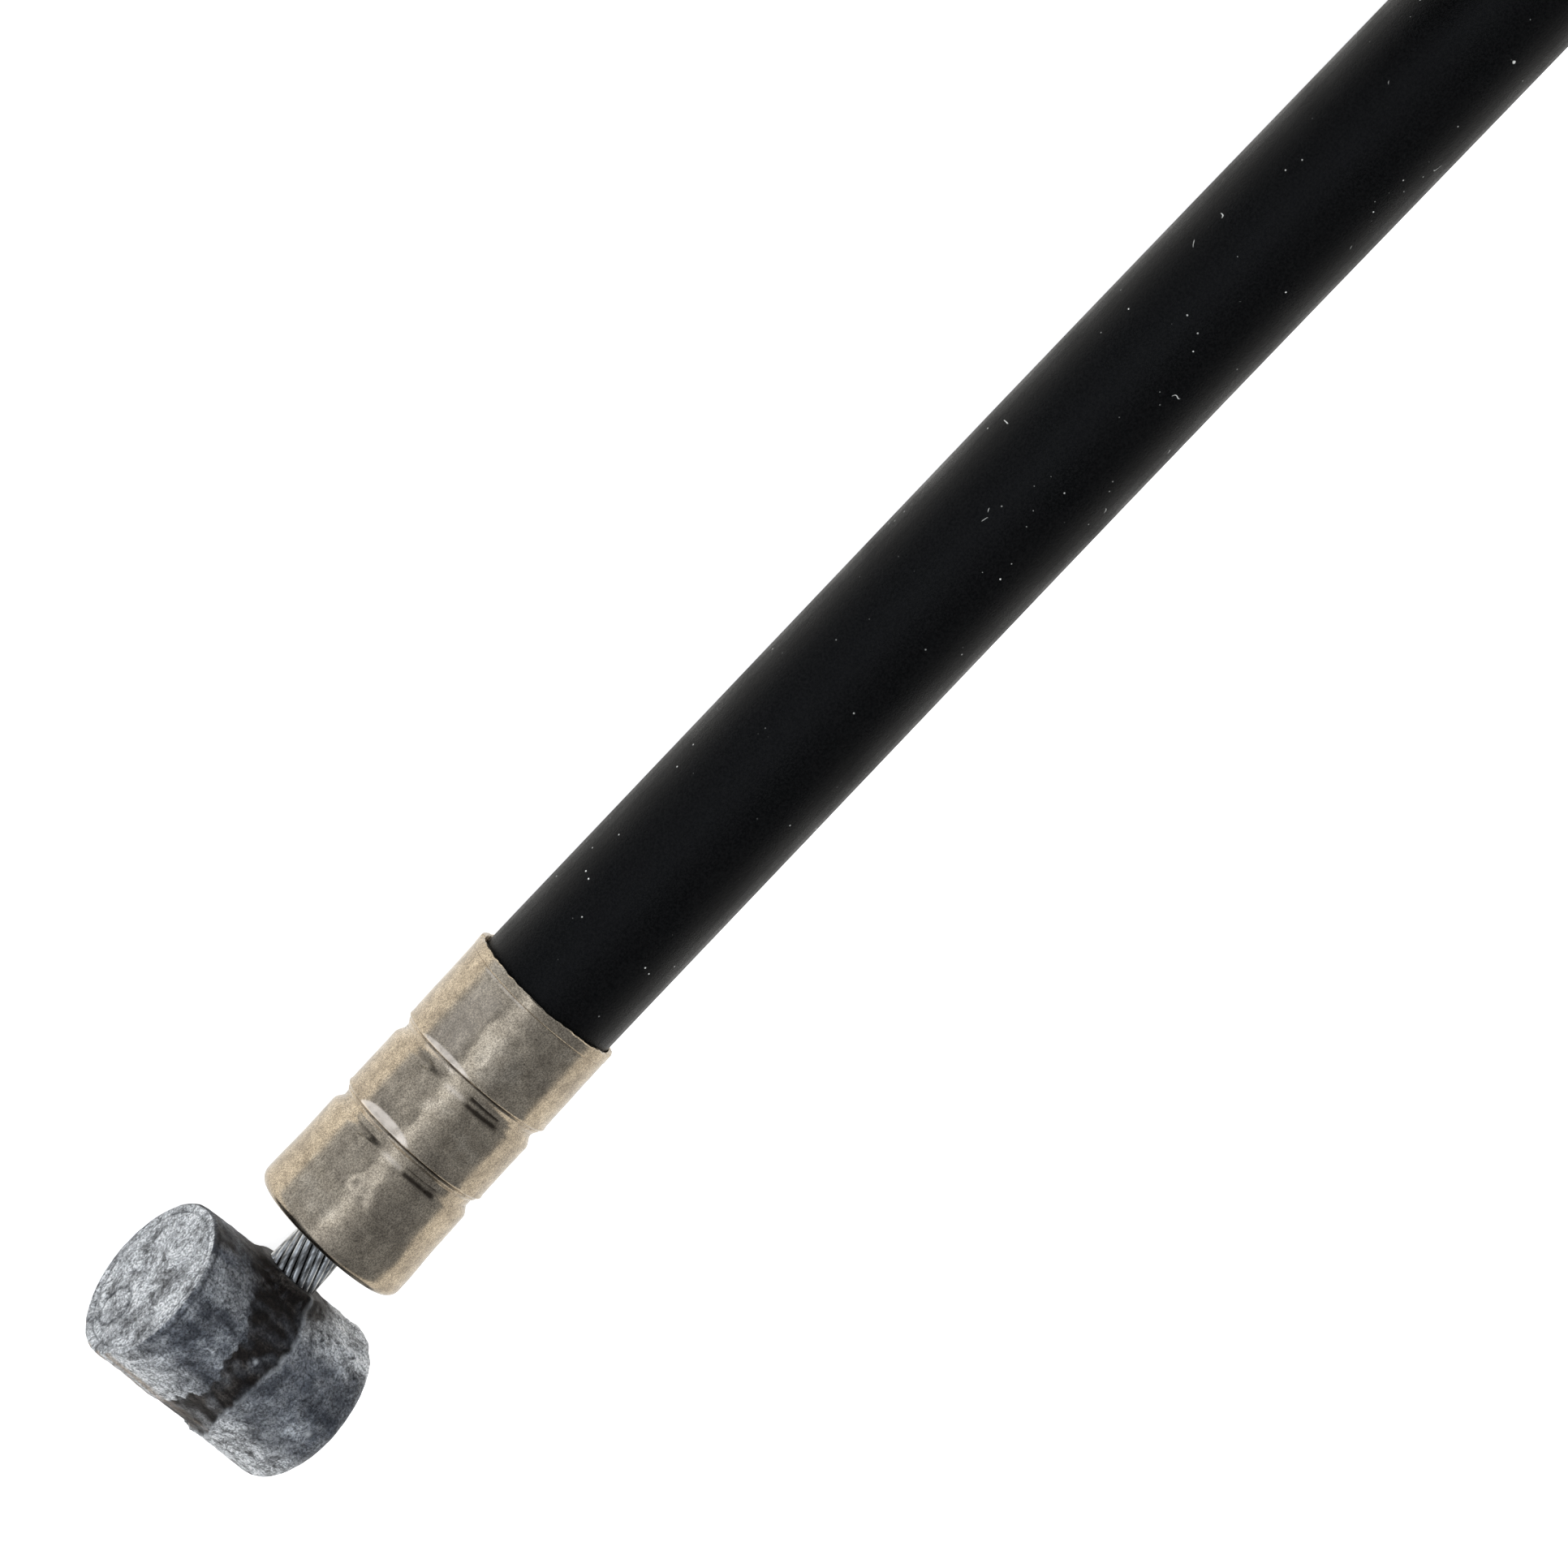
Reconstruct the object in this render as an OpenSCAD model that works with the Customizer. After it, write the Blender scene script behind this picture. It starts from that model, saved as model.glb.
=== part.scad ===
// Control cable for the hand lever and drum brake of a small motorcycle or minibike.
// The origin is the middle of the lever ferrule's end face. +X runs along the housing,
// away from the lever nipple, the nipple lies along Y, and +Z is up.

/* [Wire rope] */
// Diameter of the wire rope
wire_d = 2.5; // [2:0.1:2.5]
// Diameter of the core wire in the middle of the rope
core_d = 0.36; // [0.3:0.02:0.5]
// Outer diameter of the inner layer, six strands
inner_layer_d = 1.08; // [0.9:0.02:1.2]
// Outer diameter of the middle layer, twelve strands
middle_layer_d = 1.8; // [1.5:0.02:1.9]
// Radial gap between the core wire and the strands that turn about it
core_gap = 0.02; // [0.01:0.01:0.05]

/* [Nipples] */
// Diameter of each barrel nipple
nipple_d = 8; // [7.6:0.1:8]
// Length of each barrel nipple
nipple_l = 10; // [9:0.5:10]
// Length of the sunk band around the middle of each nipple
nipple_band_l = 3.2; // [2.8:0.1:3.6]
// Depth of the sunk band
nipple_band_depth = 0.2; // [0.18:0.02:0.3]
// Radius of the rounded edge where the mould parts
nipple_round = 1; // [0.6:0.1:1.2]
// Radius of the edge around the gate face
nipple_edge = 0.3; // [0.1:0.1:0.5]
// Bare wire between the lever nipple and the ferrule
lever_gap = 2.4; // [2.3:0.1:4]

/* [Lever ferrule] */
// Length of the ferrule
ferrule_l = 15; // [14:0.5:18]
// Diameter of the rolled end edge
ferrule_end_d = 7.96; // [7.9:0.02:8]
// Diameter of the middle band
ferrule_d = 7.76; // [7.7:0.02:7.8]
// Diameter of the band at the open mouth
ferrule_mouth_d = 7.84; // [7.8:0.02:7.9]
// Thickness of the end wall
ferrule_end_wall = 1; // [0.8:0.1:1.2]
// Diameter of the hole for the wire
ferrule_hole_d = 2.9; // [2.8:0.1:3]
// Place of the first crimp groove, from the end face
groove_1_x = 5.6; // [4:0.1:7]
// Place of the second crimp groove, from the end face
groove_2_x = 9.7; // [8.5:0.1:11]
// Width of a crimp groove at its top
groove_w = 0.9; // [0.6:0.1:1.2]
// Diameter at the bottom of a crimp groove
groove_d = 7.3; // [7.2:0.05:7.4]

/* [Housing] */
// Outer diameter of the housing
housing_d = 7.25; // [7.2:0.05:7.25]
// Outer diameter of the spiral steel armour under the jacket
armour_d = 5.4; // [5:0.1:5.6]
// Outer diameter of the liner inside the armour
liner_d = 4; // [3.8:0.1:4]
// Inner diameter of the liner
liner_bore_d = 3; // [2.9:0.1:3]
// Length of the straight stretch whose inner layers are drawn
layered_l = 88; // [80:1:90]

/* [Stored coil] */
// Place of the coil's centre along X
coil_x = 114; // [114:1:120]
// Radius of the coil's outer turn, at the middle of the housing
coil_r = 46; // [44:0.5:50]
// Thickness of each tie
tie_t = 0.6; // [0.4:0.1:0.8]
// Width of each tie
tie_w = 5; // [3:0.5:8]

/* [Adjuster] */
// Outer diameter of the crimp sleeve
sleeve_d = 10; // [9.6:0.2:11]
// Length of the crimp sleeve
sleeve_l = 16; // [14:1:18]
// Outer diameter of the adjuster's thread
thread_d = 7.9; // [7.8:0.02:7.96]
// Length of the threaded shank
thread_l = 24; // [22:1:26]
// Pitch of the thread
thread_pitch = 1.25; // [1:0.25:1.25]
// Width of the adjuster nuts across their flats
nut_af = 12; // [12:0.5:13]
// Thickness of each adjuster nut
nut_t = 4; // [3.5:0.5:4]
// Diameter of the bore in each nut
nut_bore_d = 8; // [8:0.02:8.04]
// Outer diameter of each lock washer
washer_d = 14; // [13.5:0.5:14]
// Thickness of each lock washer
washer_t = 0.8; // [0.6:0.1:1]
// Gap between the washers, where the bracket goes
bracket_gap = 5; // [4.8:0.1:5]

/* [Dust boot] */
// Largest diameter of the dust boot
boot_d = 10.8; // [10.4:0.2:11.2]
// Diameter of the boot's lip on the wire side
boot_lip_d = 4.6; // [4.2:0.2:5]
// Number of folds in the bellows
boot_folds = 5; // [3:1:6]
// Thickness of the boot's wall
boot_wall = 0.9; // [0.7:0.1:1]

/* [Hidden] */
$fn = 64;

// Small overlap that lets a cutting shape pass through the face it cuts
cut = 0.5;
// Gap between a nut and its washer
nut_gap = 0.05;
// Radial gap between a washer and the thread
washer_gap = 0.1;
// Gap between the adjuster's thread and the boot
boot_gap = 0.2;
// Angle that lets a turned cutting shape pass through the faces it cuts
cut_deg = 1;

// Nipples: the wire ends behind a thin wall, and leaves through a small boss
nipple_end_wall = 1;
boss_d = wire_d + 1;
boss_proud = 0.2;

// Lever end
nipple_x = -lever_gap - nipple_d / 2;
floor_z = -nipple_d / 2;
lever_wire_end_x = 84;
ferrule_round = 0.6;

// Crimp grooves: each has a narrow flat floor, and presses a shallow dent into the jacket
groove_floor_w = 0.2;
dent_depth = 0.25;

// Coil: two turns side by side and two layers, lying on its ties
coil_y = coil_r;
coil_mid_r = coil_r - housing_d / 2;
coil_low_z = floor_z + tie_t + housing_d / 2;
coil_high_z = coil_low_z + housing_d;
coil_mid_z = (coil_low_z + coil_high_z) / 2;
tie_near_angle = -20;
tie_far_angle = 150;

// Brake end, which lies on its washers and points back along -X
brake_y = 2 * coil_r;
brake_z = floor_z + washer_d / 2;
shank_start_x = 58;
sleeve_mouth_x = shank_start_x + sleeve_l;
thread_end_x = shank_start_x - thread_l;
neck_d = 6.6;
neck_l = 4;
bead_d = 7.6;
bead_l = 2;
tip_x = thread_end_x - neck_l - bead_l;
tail_end_x = shank_start_x + 4;
gap_mid_x = 46;
nut_chamfer = 0.6;
brake_nipple_x = -16;
brake_wire_end_x = 41;
boot_end_x = thread_end_x - boot_gap;
boot_tip_x = 10;
boot_collar_l = 7;
boot_collar_d = boot_d - 0.8;
boot_lip_l = 3;

// Route of the housing from the coil into the crimp sleeve
tail_route = [
    [114, 92, 7.5], [108, 92, 7.5], [102, 92, 7.4], [96, 92, 7],
    [90, 92, 6.1], [84, 92, 4.9], [78, 92, 3.7], [73, 92, 3.1], [68, 92, 3], [62, 92, 3]
];
tail_sides = 12;

function profile_arc(cx, cy, r, from, to, steps) =
    [for (i = [0:steps]) let (a = from + (to - from) * i / steps) [cx + r * cos(a), cy + r * sin(a)]];

// Stands a shape that is made along Z along X instead, starting at x
module along_x(x, y = 0, z = 0) {
    translate([x, y, z]) rotate([0, 90, 0]) children();
}

module tube_x(from_x, to_x, outer_d, inner_d, y = 0, z = 0) {
    along_x(from_x, y, z) difference() {
        cylinder(h = to_x - from_x, d = outer_d);
        if (inner_d > 0) translate([0, 0, -cut]) cylinder(h = to_x - from_x + 2 * cut, d = inner_d);
    }
}

module rod_x(from_x, to_x, d, y = 0, z = 0) {
    along_x(from_x, y, z) cylinder(h = to_x - from_x, d = d);
}

// Outline of half a nipple, from its axis out: the gate face is at the top, the parting edge below
function nipple_outline() =
    let (r = nipple_d / 2, h = nipple_l / 2, b = nipple_band_l / 2, s = r - nipple_band_depth)
    concat(
        [[0, -h]],
        profile_arc(r - nipple_round, -h + nipple_round, nipple_round, -90, 0, 6),
        [[r, -b - nipple_band_depth], [s, -b], [s, b], [r, b + nipple_band_depth]],
        profile_arc(r - nipple_edge, h - nipple_edge, nipple_edge, 0, 90, 3),
        [[0, h]]
    );

// A barrel nipple at the origin, cast around a wire that leaves it along +X
module barrel_nipple() {
    difference() {
        union() {
            rotate([-90, 0, 0]) rotate_extrude() polygon(nipple_outline());
            along_x(0) cylinder(h = nipple_d / 2 + boss_proud, d = boss_d);
        }
        along_x(-nipple_d / 2 + nipple_end_wall) cylinder(h = nipple_d, d = wire_d);
    }
}

// A ring that cuts a groove with sloping sides into a bar that lies along X
module groove_ring(x, floor_r, top_r, top_half_w) {
    floor_half_w = groove_floor_w / 2;
    along_x(x) rotate_extrude() polygon([
        [floor_r, -floor_half_w], [top_r, -top_half_w], [top_r, top_half_w], [floor_r, floor_half_w]
    ]);
}

module crimp_ring(x) {
    groove_ring(x, groove_d / 2, ferrule_d / 2 + cut, groove_w / 2 + cut);
}

module jacket_dent(x) {
    floor_r = housing_d / 2 - dent_depth;
    groove_ring(x, floor_r, housing_d / 2 + cut, groove_floor_w / 2 + dent_depth + cut);
}

module jacket_outside(from_x, to_x) {
    difference() {
        rod_x(from_x, to_x, housing_d);
        jacket_dent(groove_1_x);
        jacket_dent(groove_2_x);
    }
}

// One layer of the rope at the lever end
module lever_wire_layer(outer_d, inner_d) {
    tube_x(nipple_x - nipple_d / 2 + nipple_end_wall, lever_wire_end_x, outer_d, inner_d);
}

// One layer of the rope at the brake end
module brake_wire_layer(outer_d, inner_d) {
    tube_x(
        brake_nipple_x - nipple_d / 2 + nipple_end_wall, brake_wire_end_x,
        outer_d, inner_d, brake_y, brake_z
    );
}

module lever_nipple() {
    color("silver") translate([nipple_x, 0, 0]) barrel_nipple();
}

module lever_wire_core() {
    color("gainsboro") lever_wire_layer(core_d, 0);
}

module lever_wire_inner_strands() {
    color("lightgray") lever_wire_layer(inner_layer_d, core_d + 2 * core_gap);
}

module lever_wire_middle_strands() {
    color("darkgray") lever_wire_layer(middle_layer_d, inner_layer_d);
}

module lever_wire_outer_strands() {
    color("silver") lever_wire_layer(wire_d, middle_layer_d);
}

module lever_ferrule() {
    end_r = ferrule_end_d / 2;
    band_r = ferrule_d / 2;
    mouth_r = ferrule_mouth_d / 2;
    color("tan") difference() {
        along_x(0) rotate_extrude() polygon(concat(
            [[0, 0]],
            profile_arc(end_r - ferrule_round, ferrule_round, ferrule_round, -90, 0, 6),
            [[band_r, groove_1_x - groove_w / 2], [band_r, groove_2_x + groove_w / 2],
             [mouth_r, groove_2_x + groove_w], [mouth_r, ferrule_l], [0, ferrule_l]]
        ));
        crimp_ring(groove_1_x);
        crimp_ring(groove_2_x);
        jacket_outside(ferrule_end_wall, ferrule_l + cut);
        rod_x(-cut, ferrule_end_wall + cut, ferrule_hole_d);
    }
}

module housing_jacket() {
    color("#1a1a1a") difference() {
        jacket_outside(ferrule_end_wall, coil_x);
        rod_x(ferrule_end_wall - cut, layered_l, armour_d);
    }
}

module housing_armour() {
    color("dimgray") tube_x(ferrule_end_wall, layered_l, armour_d, liner_d);
}

module housing_liner() {
    color("ivory") tube_x(ferrule_end_wall, layered_l, liner_d, liner_bore_d);
}

// Section through the bundle of turns, grown by an extra thickness
module bundle_section(extra) {
    r = housing_d / 2 + extra;
    for (side = [-1, 1]) translate([0, side * housing_d / 2]) {
        translate([-housing_d / 2, -r]) square([housing_d, 2 * r]);
        for (end = [-1, 1]) translate([end * housing_d / 2, 0]) circle(r = r);
    }
    translate([-housing_d / 2 - r, -housing_d / 2]) square([housing_d + 2 * r, housing_d]);
}

module housing_coil() {
    color("#161616") translate([coil_x, coil_y, coil_mid_z])
        rotate_extrude($fn = 128) translate([coil_mid_r, 0]) bundle_section(0);
}

// A tube swept along a list of points, with every ring square to the route in plan
module swept_tube(route, d, sides) {
    n = len(route);
    function heading(i) = route[min(i + 1, n - 1)] - route[max(i - 1, 0)];
    function ring(i) =
        let (h = heading(i) / norm(heading(i)), side = [-h[1], h[0], 0] / norm([h[0], h[1]]))
        let (up = cross(h, side))
        [for (k = [0:sides - 1]) let (a = 360 * (k + 0.5) / sides)
            route[i] + d / 2 * (cos(a) * side + sin(a) * up)];
    points = [for (i = [0:n - 1]) each ring(i)];
    walls = [for (i = [0:n - 2], k = [0:sides - 1])
        let (j = (k + 1) % sides)
        [i * sides + k, (i + 1) * sides + k, (i + 1) * sides + j, i * sides + j]];
    first_cap = [[for (k = [0:sides - 1]) k]];
    last_cap = [[for (k = [0:sides - 1]) n * sides - 1 - k]];
    polyhedron(points, concat(walls, first_cap, last_cap), convexity = 6);
}

module housing_tail() {
    color("#1e1e1e") swept_tube(tail_route, housing_d, tail_sides);
}

// A band around the bundle of turns, at an angle around the coil
module coil_tie(angle) {
    span = 360 * tie_w / (2 * PI * coil_mid_r);
    translate([coil_x, coil_y, coil_mid_z]) rotate([0, 0, angle - span / 2]) difference() {
        rotate_extrude(angle = span, $fn = 128) translate([coil_mid_r, 0]) bundle_section(tie_t);
        rotate([0, 0, -cut_deg]) rotate_extrude(angle = span + 2 * cut_deg, $fn = 128)
            translate([coil_mid_r, 0]) bundle_section(0);
    }
}

module coil_tie_near() {
    color("whitesmoke") coil_tie(tie_near_angle);
}

module coil_tie_far() {
    color("whitesmoke") coil_tie(tie_far_angle);
}

module adjuster_body() {
    color("lightsteelblue") difference() {
        union() {
            rod_x(shank_start_x, sleeve_mouth_x, sleeve_d, brake_y, brake_z);
            rod_x(thread_end_x, shank_start_x, thread_d, brake_y, brake_z);
            rod_x(tip_x, thread_end_x, neck_d, brake_y, brake_z);
            rod_x(tip_x, tip_x + bead_l, bead_d, brake_y, brake_z);
        }
        rod_x(tail_end_x, sleeve_mouth_x + cut, housing_d, brake_y, brake_z);
        rod_x(tip_x - cut, tail_end_x + cut, liner_d, brake_y, brake_z);
    }
}

module adjuster_liner() {
    color("ivory") tube_x(tip_x, tail_end_x, liner_d, liner_bore_d, brake_y, brake_z);
}

module lock_washer(x) {
    tube_x(x, x + washer_t, washer_d, thread_d + 2 * washer_gap, brake_y, brake_z);
}

// A hexagon nut with its corners turned away at both faces
module adjuster_nut(x) {
    across_corners = nut_af / cos(30);
    wide = nut_af + 4 * nut_chamfer;
    along_x(x, brake_y, brake_z) difference() {
        intersection() {
            rotate([0, 0, 30]) cylinder(h = nut_t, d = across_corners, $fn = 6);
            union() {
                cylinder(h = nut_chamfer, d1 = nut_af, d2 = wide);
                translate([0, 0, nut_chamfer]) cylinder(h = nut_t - 2 * nut_chamfer, d = wide);
                translate([0, 0, nut_t - nut_chamfer]) cylinder(h = nut_chamfer, d1 = wide, d2 = nut_af);
            }
        }
        translate([0, 0, -cut]) cylinder(h = nut_t + 2 * cut, d = nut_bore_d);
    }
}

module lock_washer_inner() {
    color("gold") lock_washer(gap_mid_x + bracket_gap / 2);
}

module lock_washer_outer() {
    color("gold") lock_washer(gap_mid_x - bracket_gap / 2 - washer_t);
}

module adjuster_nut_inner() {
    color("goldenrod") adjuster_nut(gap_mid_x + bracket_gap / 2 + washer_t + nut_gap);
}

module adjuster_nut_outer() {
    color("goldenrod") adjuster_nut(gap_mid_x - bracket_gap / 2 - washer_t - nut_gap - nut_t);
}

// Outline of the bellows: each fold rises to a crest and falls to a root as the boot narrows
function boot_outline() =
    let (from_x = boot_end_x - boot_collar_l, to_x = boot_tip_x + boot_lip_l,
         step = (from_x - to_x) / boot_folds,
         narrowing = 0.55, fold_depth = 1.1, crest_share = 0.35, root_share = 0.95)
    [for (i = [0:boot_folds - 1])
        let (crest_r = boot_d / 2 * (1 - narrowing * i / boot_folds))
        each [
            [crest_r, from_x - (i + crest_share) * step],
            [crest_r - fold_depth, from_x - (i + root_share) * step]
        ]];

module dust_boot() {
    from_x = boot_end_x - boot_collar_l;
    to_x = boot_tip_x + boot_lip_l;
    lip_bore_r = wire_d / 2 + 0.2;
    fold_bore_r = wire_d / 2 + 0.3;
    folds = boot_outline();
    inside = [for (p = folds) [max(p[0] - boot_wall, fold_bore_r), p[1]]];
    color("#222222") difference() {
        along_x(0, brake_y, brake_z) rotate_extrude() polygon(concat(
            [[0, boot_end_x], [boot_collar_d / 2, boot_end_x], [boot_collar_d / 2, from_x]],
            folds,
            [[boot_lip_d / 2, to_x], [boot_lip_d / 2, boot_tip_x], [0, boot_tip_x]]
        ));
        along_x(0, brake_y, brake_z) rotate_extrude() polygon(concat(
            [[0, tip_x], [bead_d / 2, tip_x], [bead_d / 2, from_x]],
            inside,
            [[lip_bore_r, to_x], [0, to_x]]
        ));
        rod_x(tip_x - cut, tip_x + bead_l, bead_d, brake_y, brake_z);
        rod_x(tip_x, boot_end_x + cut, neck_d, brake_y, brake_z);
        rod_x(boot_tip_x - cut, tip_x, 2 * lip_bore_r, brake_y, brake_z);
    }
}

module brake_wire_core() {
    color("gainsboro") brake_wire_layer(core_d, 0);
}

module brake_wire_inner_strands() {
    color("lightgray") brake_wire_layer(inner_layer_d, core_d + 2 * core_gap);
}

module brake_wire_middle_strands() {
    color("darkgray") brake_wire_layer(middle_layer_d, inner_layer_d);
}

module brake_wire_outer_strands() {
    color("silver") brake_wire_layer(wire_d, middle_layer_d);
}

module brake_nipple() {
    color("silver") translate([brake_nipple_x, brake_y, brake_z]) barrel_nipple();
}

lever_nipple();
lever_wire_core();
lever_wire_inner_strands();
lever_wire_middle_strands();
lever_wire_outer_strands();
lever_ferrule();
housing_jacket();
housing_armour();
housing_liner();
housing_coil();
housing_tail();
coil_tie_near();
coil_tie_far();
adjuster_body();
adjuster_liner();
lock_washer_inner();
adjuster_nut_inner();
lock_washer_outer();
adjuster_nut_outer();
dust_boot();
brake_wire_core();
brake_wire_inner_strands();
brake_wire_middle_strands();
brake_wire_outer_strands();
brake_nipple();
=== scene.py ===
"""Looks of a motorcycle control cable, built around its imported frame.

Row frame: +X runs along the housing away from the lever nipple, Y along the nipples, +Z up. Lengths
are written in millimetres and scaled by MM where vertices are made.
"""
import math
import random

import bpy
from mathutils import Matrix, Vector, noise


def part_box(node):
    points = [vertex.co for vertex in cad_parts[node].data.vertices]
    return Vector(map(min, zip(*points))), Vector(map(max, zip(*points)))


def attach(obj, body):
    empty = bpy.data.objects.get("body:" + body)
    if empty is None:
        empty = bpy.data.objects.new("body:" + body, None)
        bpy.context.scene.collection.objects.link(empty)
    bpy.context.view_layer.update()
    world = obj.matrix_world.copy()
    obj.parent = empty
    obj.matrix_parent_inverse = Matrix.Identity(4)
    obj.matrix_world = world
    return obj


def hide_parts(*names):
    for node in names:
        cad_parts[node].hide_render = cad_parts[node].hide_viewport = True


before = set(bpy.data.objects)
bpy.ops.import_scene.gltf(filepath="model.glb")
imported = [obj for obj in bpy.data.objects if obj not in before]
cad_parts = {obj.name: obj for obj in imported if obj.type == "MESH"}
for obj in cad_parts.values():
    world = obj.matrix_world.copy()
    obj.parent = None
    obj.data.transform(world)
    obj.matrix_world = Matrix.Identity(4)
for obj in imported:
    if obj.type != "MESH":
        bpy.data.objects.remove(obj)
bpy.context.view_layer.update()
MM = 0.001
TURN = 2 * math.pi


def box_mm(node):
    """Lowest and highest corner of a CAD node, in millimetres."""
    low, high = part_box(node)
    return Vector(low) / MM, Vector(high) / MM


# ---- sizes taken from the frame
NIPPLE_R = 4.0
NIPPLE_HALF = 5.0
HOUSING_D = 7.25
lever_low = box_mm("lever_nipple")[0]
LEVER_NIPPLE = Vector((lever_low.x + NIPPLE_R, 0, 0))
brake_low, brake_high = box_mm("brake_nipple")
BRAKE_NIPPLE = Vector((
    brake_low.x + NIPPLE_R, (brake_low.y + brake_high.y) / 2, (brake_low.z + brake_high.z) / 2
))
FLOOR_Z = lever_low.z
FERRULE_END, FERRULE_MOUTH = (corner.x for corner in box_mm("lever_ferrule"))
COIL_LOW, COIL_HIGH = box_mm("housing_coil")
BODY_LOW, BODY_HIGH = box_mm("adjuster_body")
BOOT_LOW, BOOT_HIGH = box_mm("dust_boot")
BRAKE_Y, BRAKE_Z = BRAKE_NIPPLE.y, BRAKE_NIPPLE.z

# ---- camera
# Camera axes in the row frame: the cable rises to the right and leans a little to the viewer
VIEW_BACK = Vector((0.146, 0.469, 0.871)).normalized()
VIEW_UP_HINT = Vector((0.7175, 0.558, -0.419))
VIEW_RIGHT = VIEW_UP_HINT.cross(VIEW_BACK).normalized()
VIEW_UP = VIEW_BACK.cross(VIEW_RIGHT)
CAMERA_DISTANCE = 2.0
CAMERA_CLIP = (0.1, 20)
SENSOR_WIDTH = 36
FIELD_WIDTH = 0.07025
CENTRE_RIGHT_OF_NIPPLE = 24.9
CENTRE_ABOVE_NIPPLE = 24.95


def added(name, data):
    """A new object in the scene."""
    thing = bpy.data.objects.new(name, data)
    bpy.context.collection.objects.link(thing)
    return thing


def turned_to(right, up, back):
    """The rotation that brings an object's own axes to these three directions."""
    return Matrix((right, up, back)).transposed().to_quaternion()


def make_camera():
    data = bpy.data.cameras.new("camera")
    camera = added("camera", data)
    data.sensor_width = SENSOR_WIDTH
    data.lens = SENSOR_WIDTH * CAMERA_DISTANCE / FIELD_WIDTH
    data.clip_start, data.clip_end = CAMERA_CLIP
    target = LEVER_NIPPLE + VIEW_RIGHT * CENTRE_RIGHT_OF_NIPPLE + VIEW_UP * CENTRE_ABOVE_NIPPLE
    camera.location = target * MM + VIEW_BACK * CAMERA_DISTANCE
    camera.rotation_mode = "QUATERNION"
    camera.rotation_quaternion = turned_to(VIEW_RIGHT, VIEW_UP, VIEW_BACK)
    bpy.context.scene.camera = camera


make_camera()


# ---- mesh helpers
def mesh_object(name, verts, faces, material, sharp_deg=40):
    """A smooth shaded mesh object from vertices in millimetres."""
    mesh = bpy.data.meshes.new(name)
    mesh.from_pydata([tuple(c * MM for c in v) for v in verts], [], faces)
    mesh.validate()
    mesh.shade_smooth()
    mesh.set_sharp_from_angle(angle=math.radians(sharp_deg))
    mesh.materials.append(material)
    return added(name, mesh)


def ring_faces(rings, sides, closed=True):
    """Quads between successive rings of vertices, and from the last ring to the first if closed."""
    faces = []
    for i in range(rings if closed else rings - 1):
        a, b = i * sides, (i + 1) % rings * sides
        for k in range(sides):
            j = (k + 1) % sides
            faces.append((a + k, a + j, b + j, b + k))
    return faces


def capped_faces(rings, sides):
    """Quads between successive rings and a face over each end."""
    last = (rings - 1) * sides
    caps = [tuple(reversed(range(sides))), tuple(range(last, last + sides))]
    return ring_faces(rings, sides, closed=False) + caps


def lathe(outline, sides, place):
    """Vertices of a revolved outline of (along, radius) points, by place(along, radius, angle)."""
    return [place(along, radius, TURN * k / sides) for along, radius in outline for k in range(sides)]


def about_brake_axis(x, radius, angle):
    """A place about the brake end's axis. The angle runs from +Y towards +Z."""
    return (x, BRAKE_Y + radius * math.cos(angle), BRAKE_Z + radius * math.sin(angle))


def dense(outline, step):
    """The outline with points added so that none is more than step from the next."""
    points = []
    for (a, r), (b, s) in zip(outline, outline[1:]):
        n = max(1, math.ceil(math.hypot(b - a, s - r) / step))
        points += [(a + (b - a) * i / n, r + (s - r) * i / n) for i in range(n)]
    return points + [outline[-1]]


def arc(centre_along, centre_r, radius, start_deg, end_deg, steps):
    """Points of an arc in (along, radius). 0 degrees points along, 90 degrees points outwards."""
    points = []
    for i in range(steps + 1):
        a = math.radians(start_deg + (end_deg - start_deg) * i / steps)
        points.append((centre_along + radius * math.cos(a), centre_r + radius * math.sin(a)))
    return points


def clamp(value):
    return min(1.0, max(0.0, value))


def smooth(t):
    """Rises from 0 to 1 with flat ends."""
    t = clamp(t)
    return t * t * (3 - 2 * t)


def rises(value, start, full):
    """Rises from 0 at start to 1 at full, which may lie on either side of start."""
    return smooth((value - start) / (full - start))


def span(value, low, high, soft):
    """1 between low and high, falling to 0 over a soft distance outside them."""
    return smooth((value - low + soft) / soft) * smooth((high + soft - value) / soft)


def bump(d, width):
    """A smooth hill of height 1 at 0 that is gone a few widths away."""
    return math.exp(-(d / width) ** 2)


def swept_wire(points, radius, sides):
    """A round wire along points that wind about an axis along X, with its ends closed."""
    verts = []
    n = len(points)
    for i, p in enumerate(points):
        ahead = (points[min(i + 1, n - 1)] - points[max(i - 1, 0)]).normalized()
        side = Vector((0, 0, 1)) if abs(ahead.z) < 0.9 else Vector((0, 1, 0))
        side = (side - ahead * side.dot(ahead)).normalized()
        other = ahead.cross(side)
        for k in range(sides):
            a = TURN * k / sides
            verts.append(p + (side * math.cos(a) + other * math.sin(a)) * radius)
    return verts, capped_faces(n, sides)


def joined(parts):
    """Several (vertices, faces) pairs as one."""
    verts, faces = [], []
    for v, f in parts:
        start = len(verts)
        verts += list(v)
        faces += [tuple(start + i for i in face) for face in f]
    return verts, faces


def field(x, y, z, seed=0.0):
    """Smooth noise from about -1 to 1 at a place in millimetres."""
    return noise.noise(Vector((x + seed * 7.3, y - seed * 3.1, z + seed * 11.7)))


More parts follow.
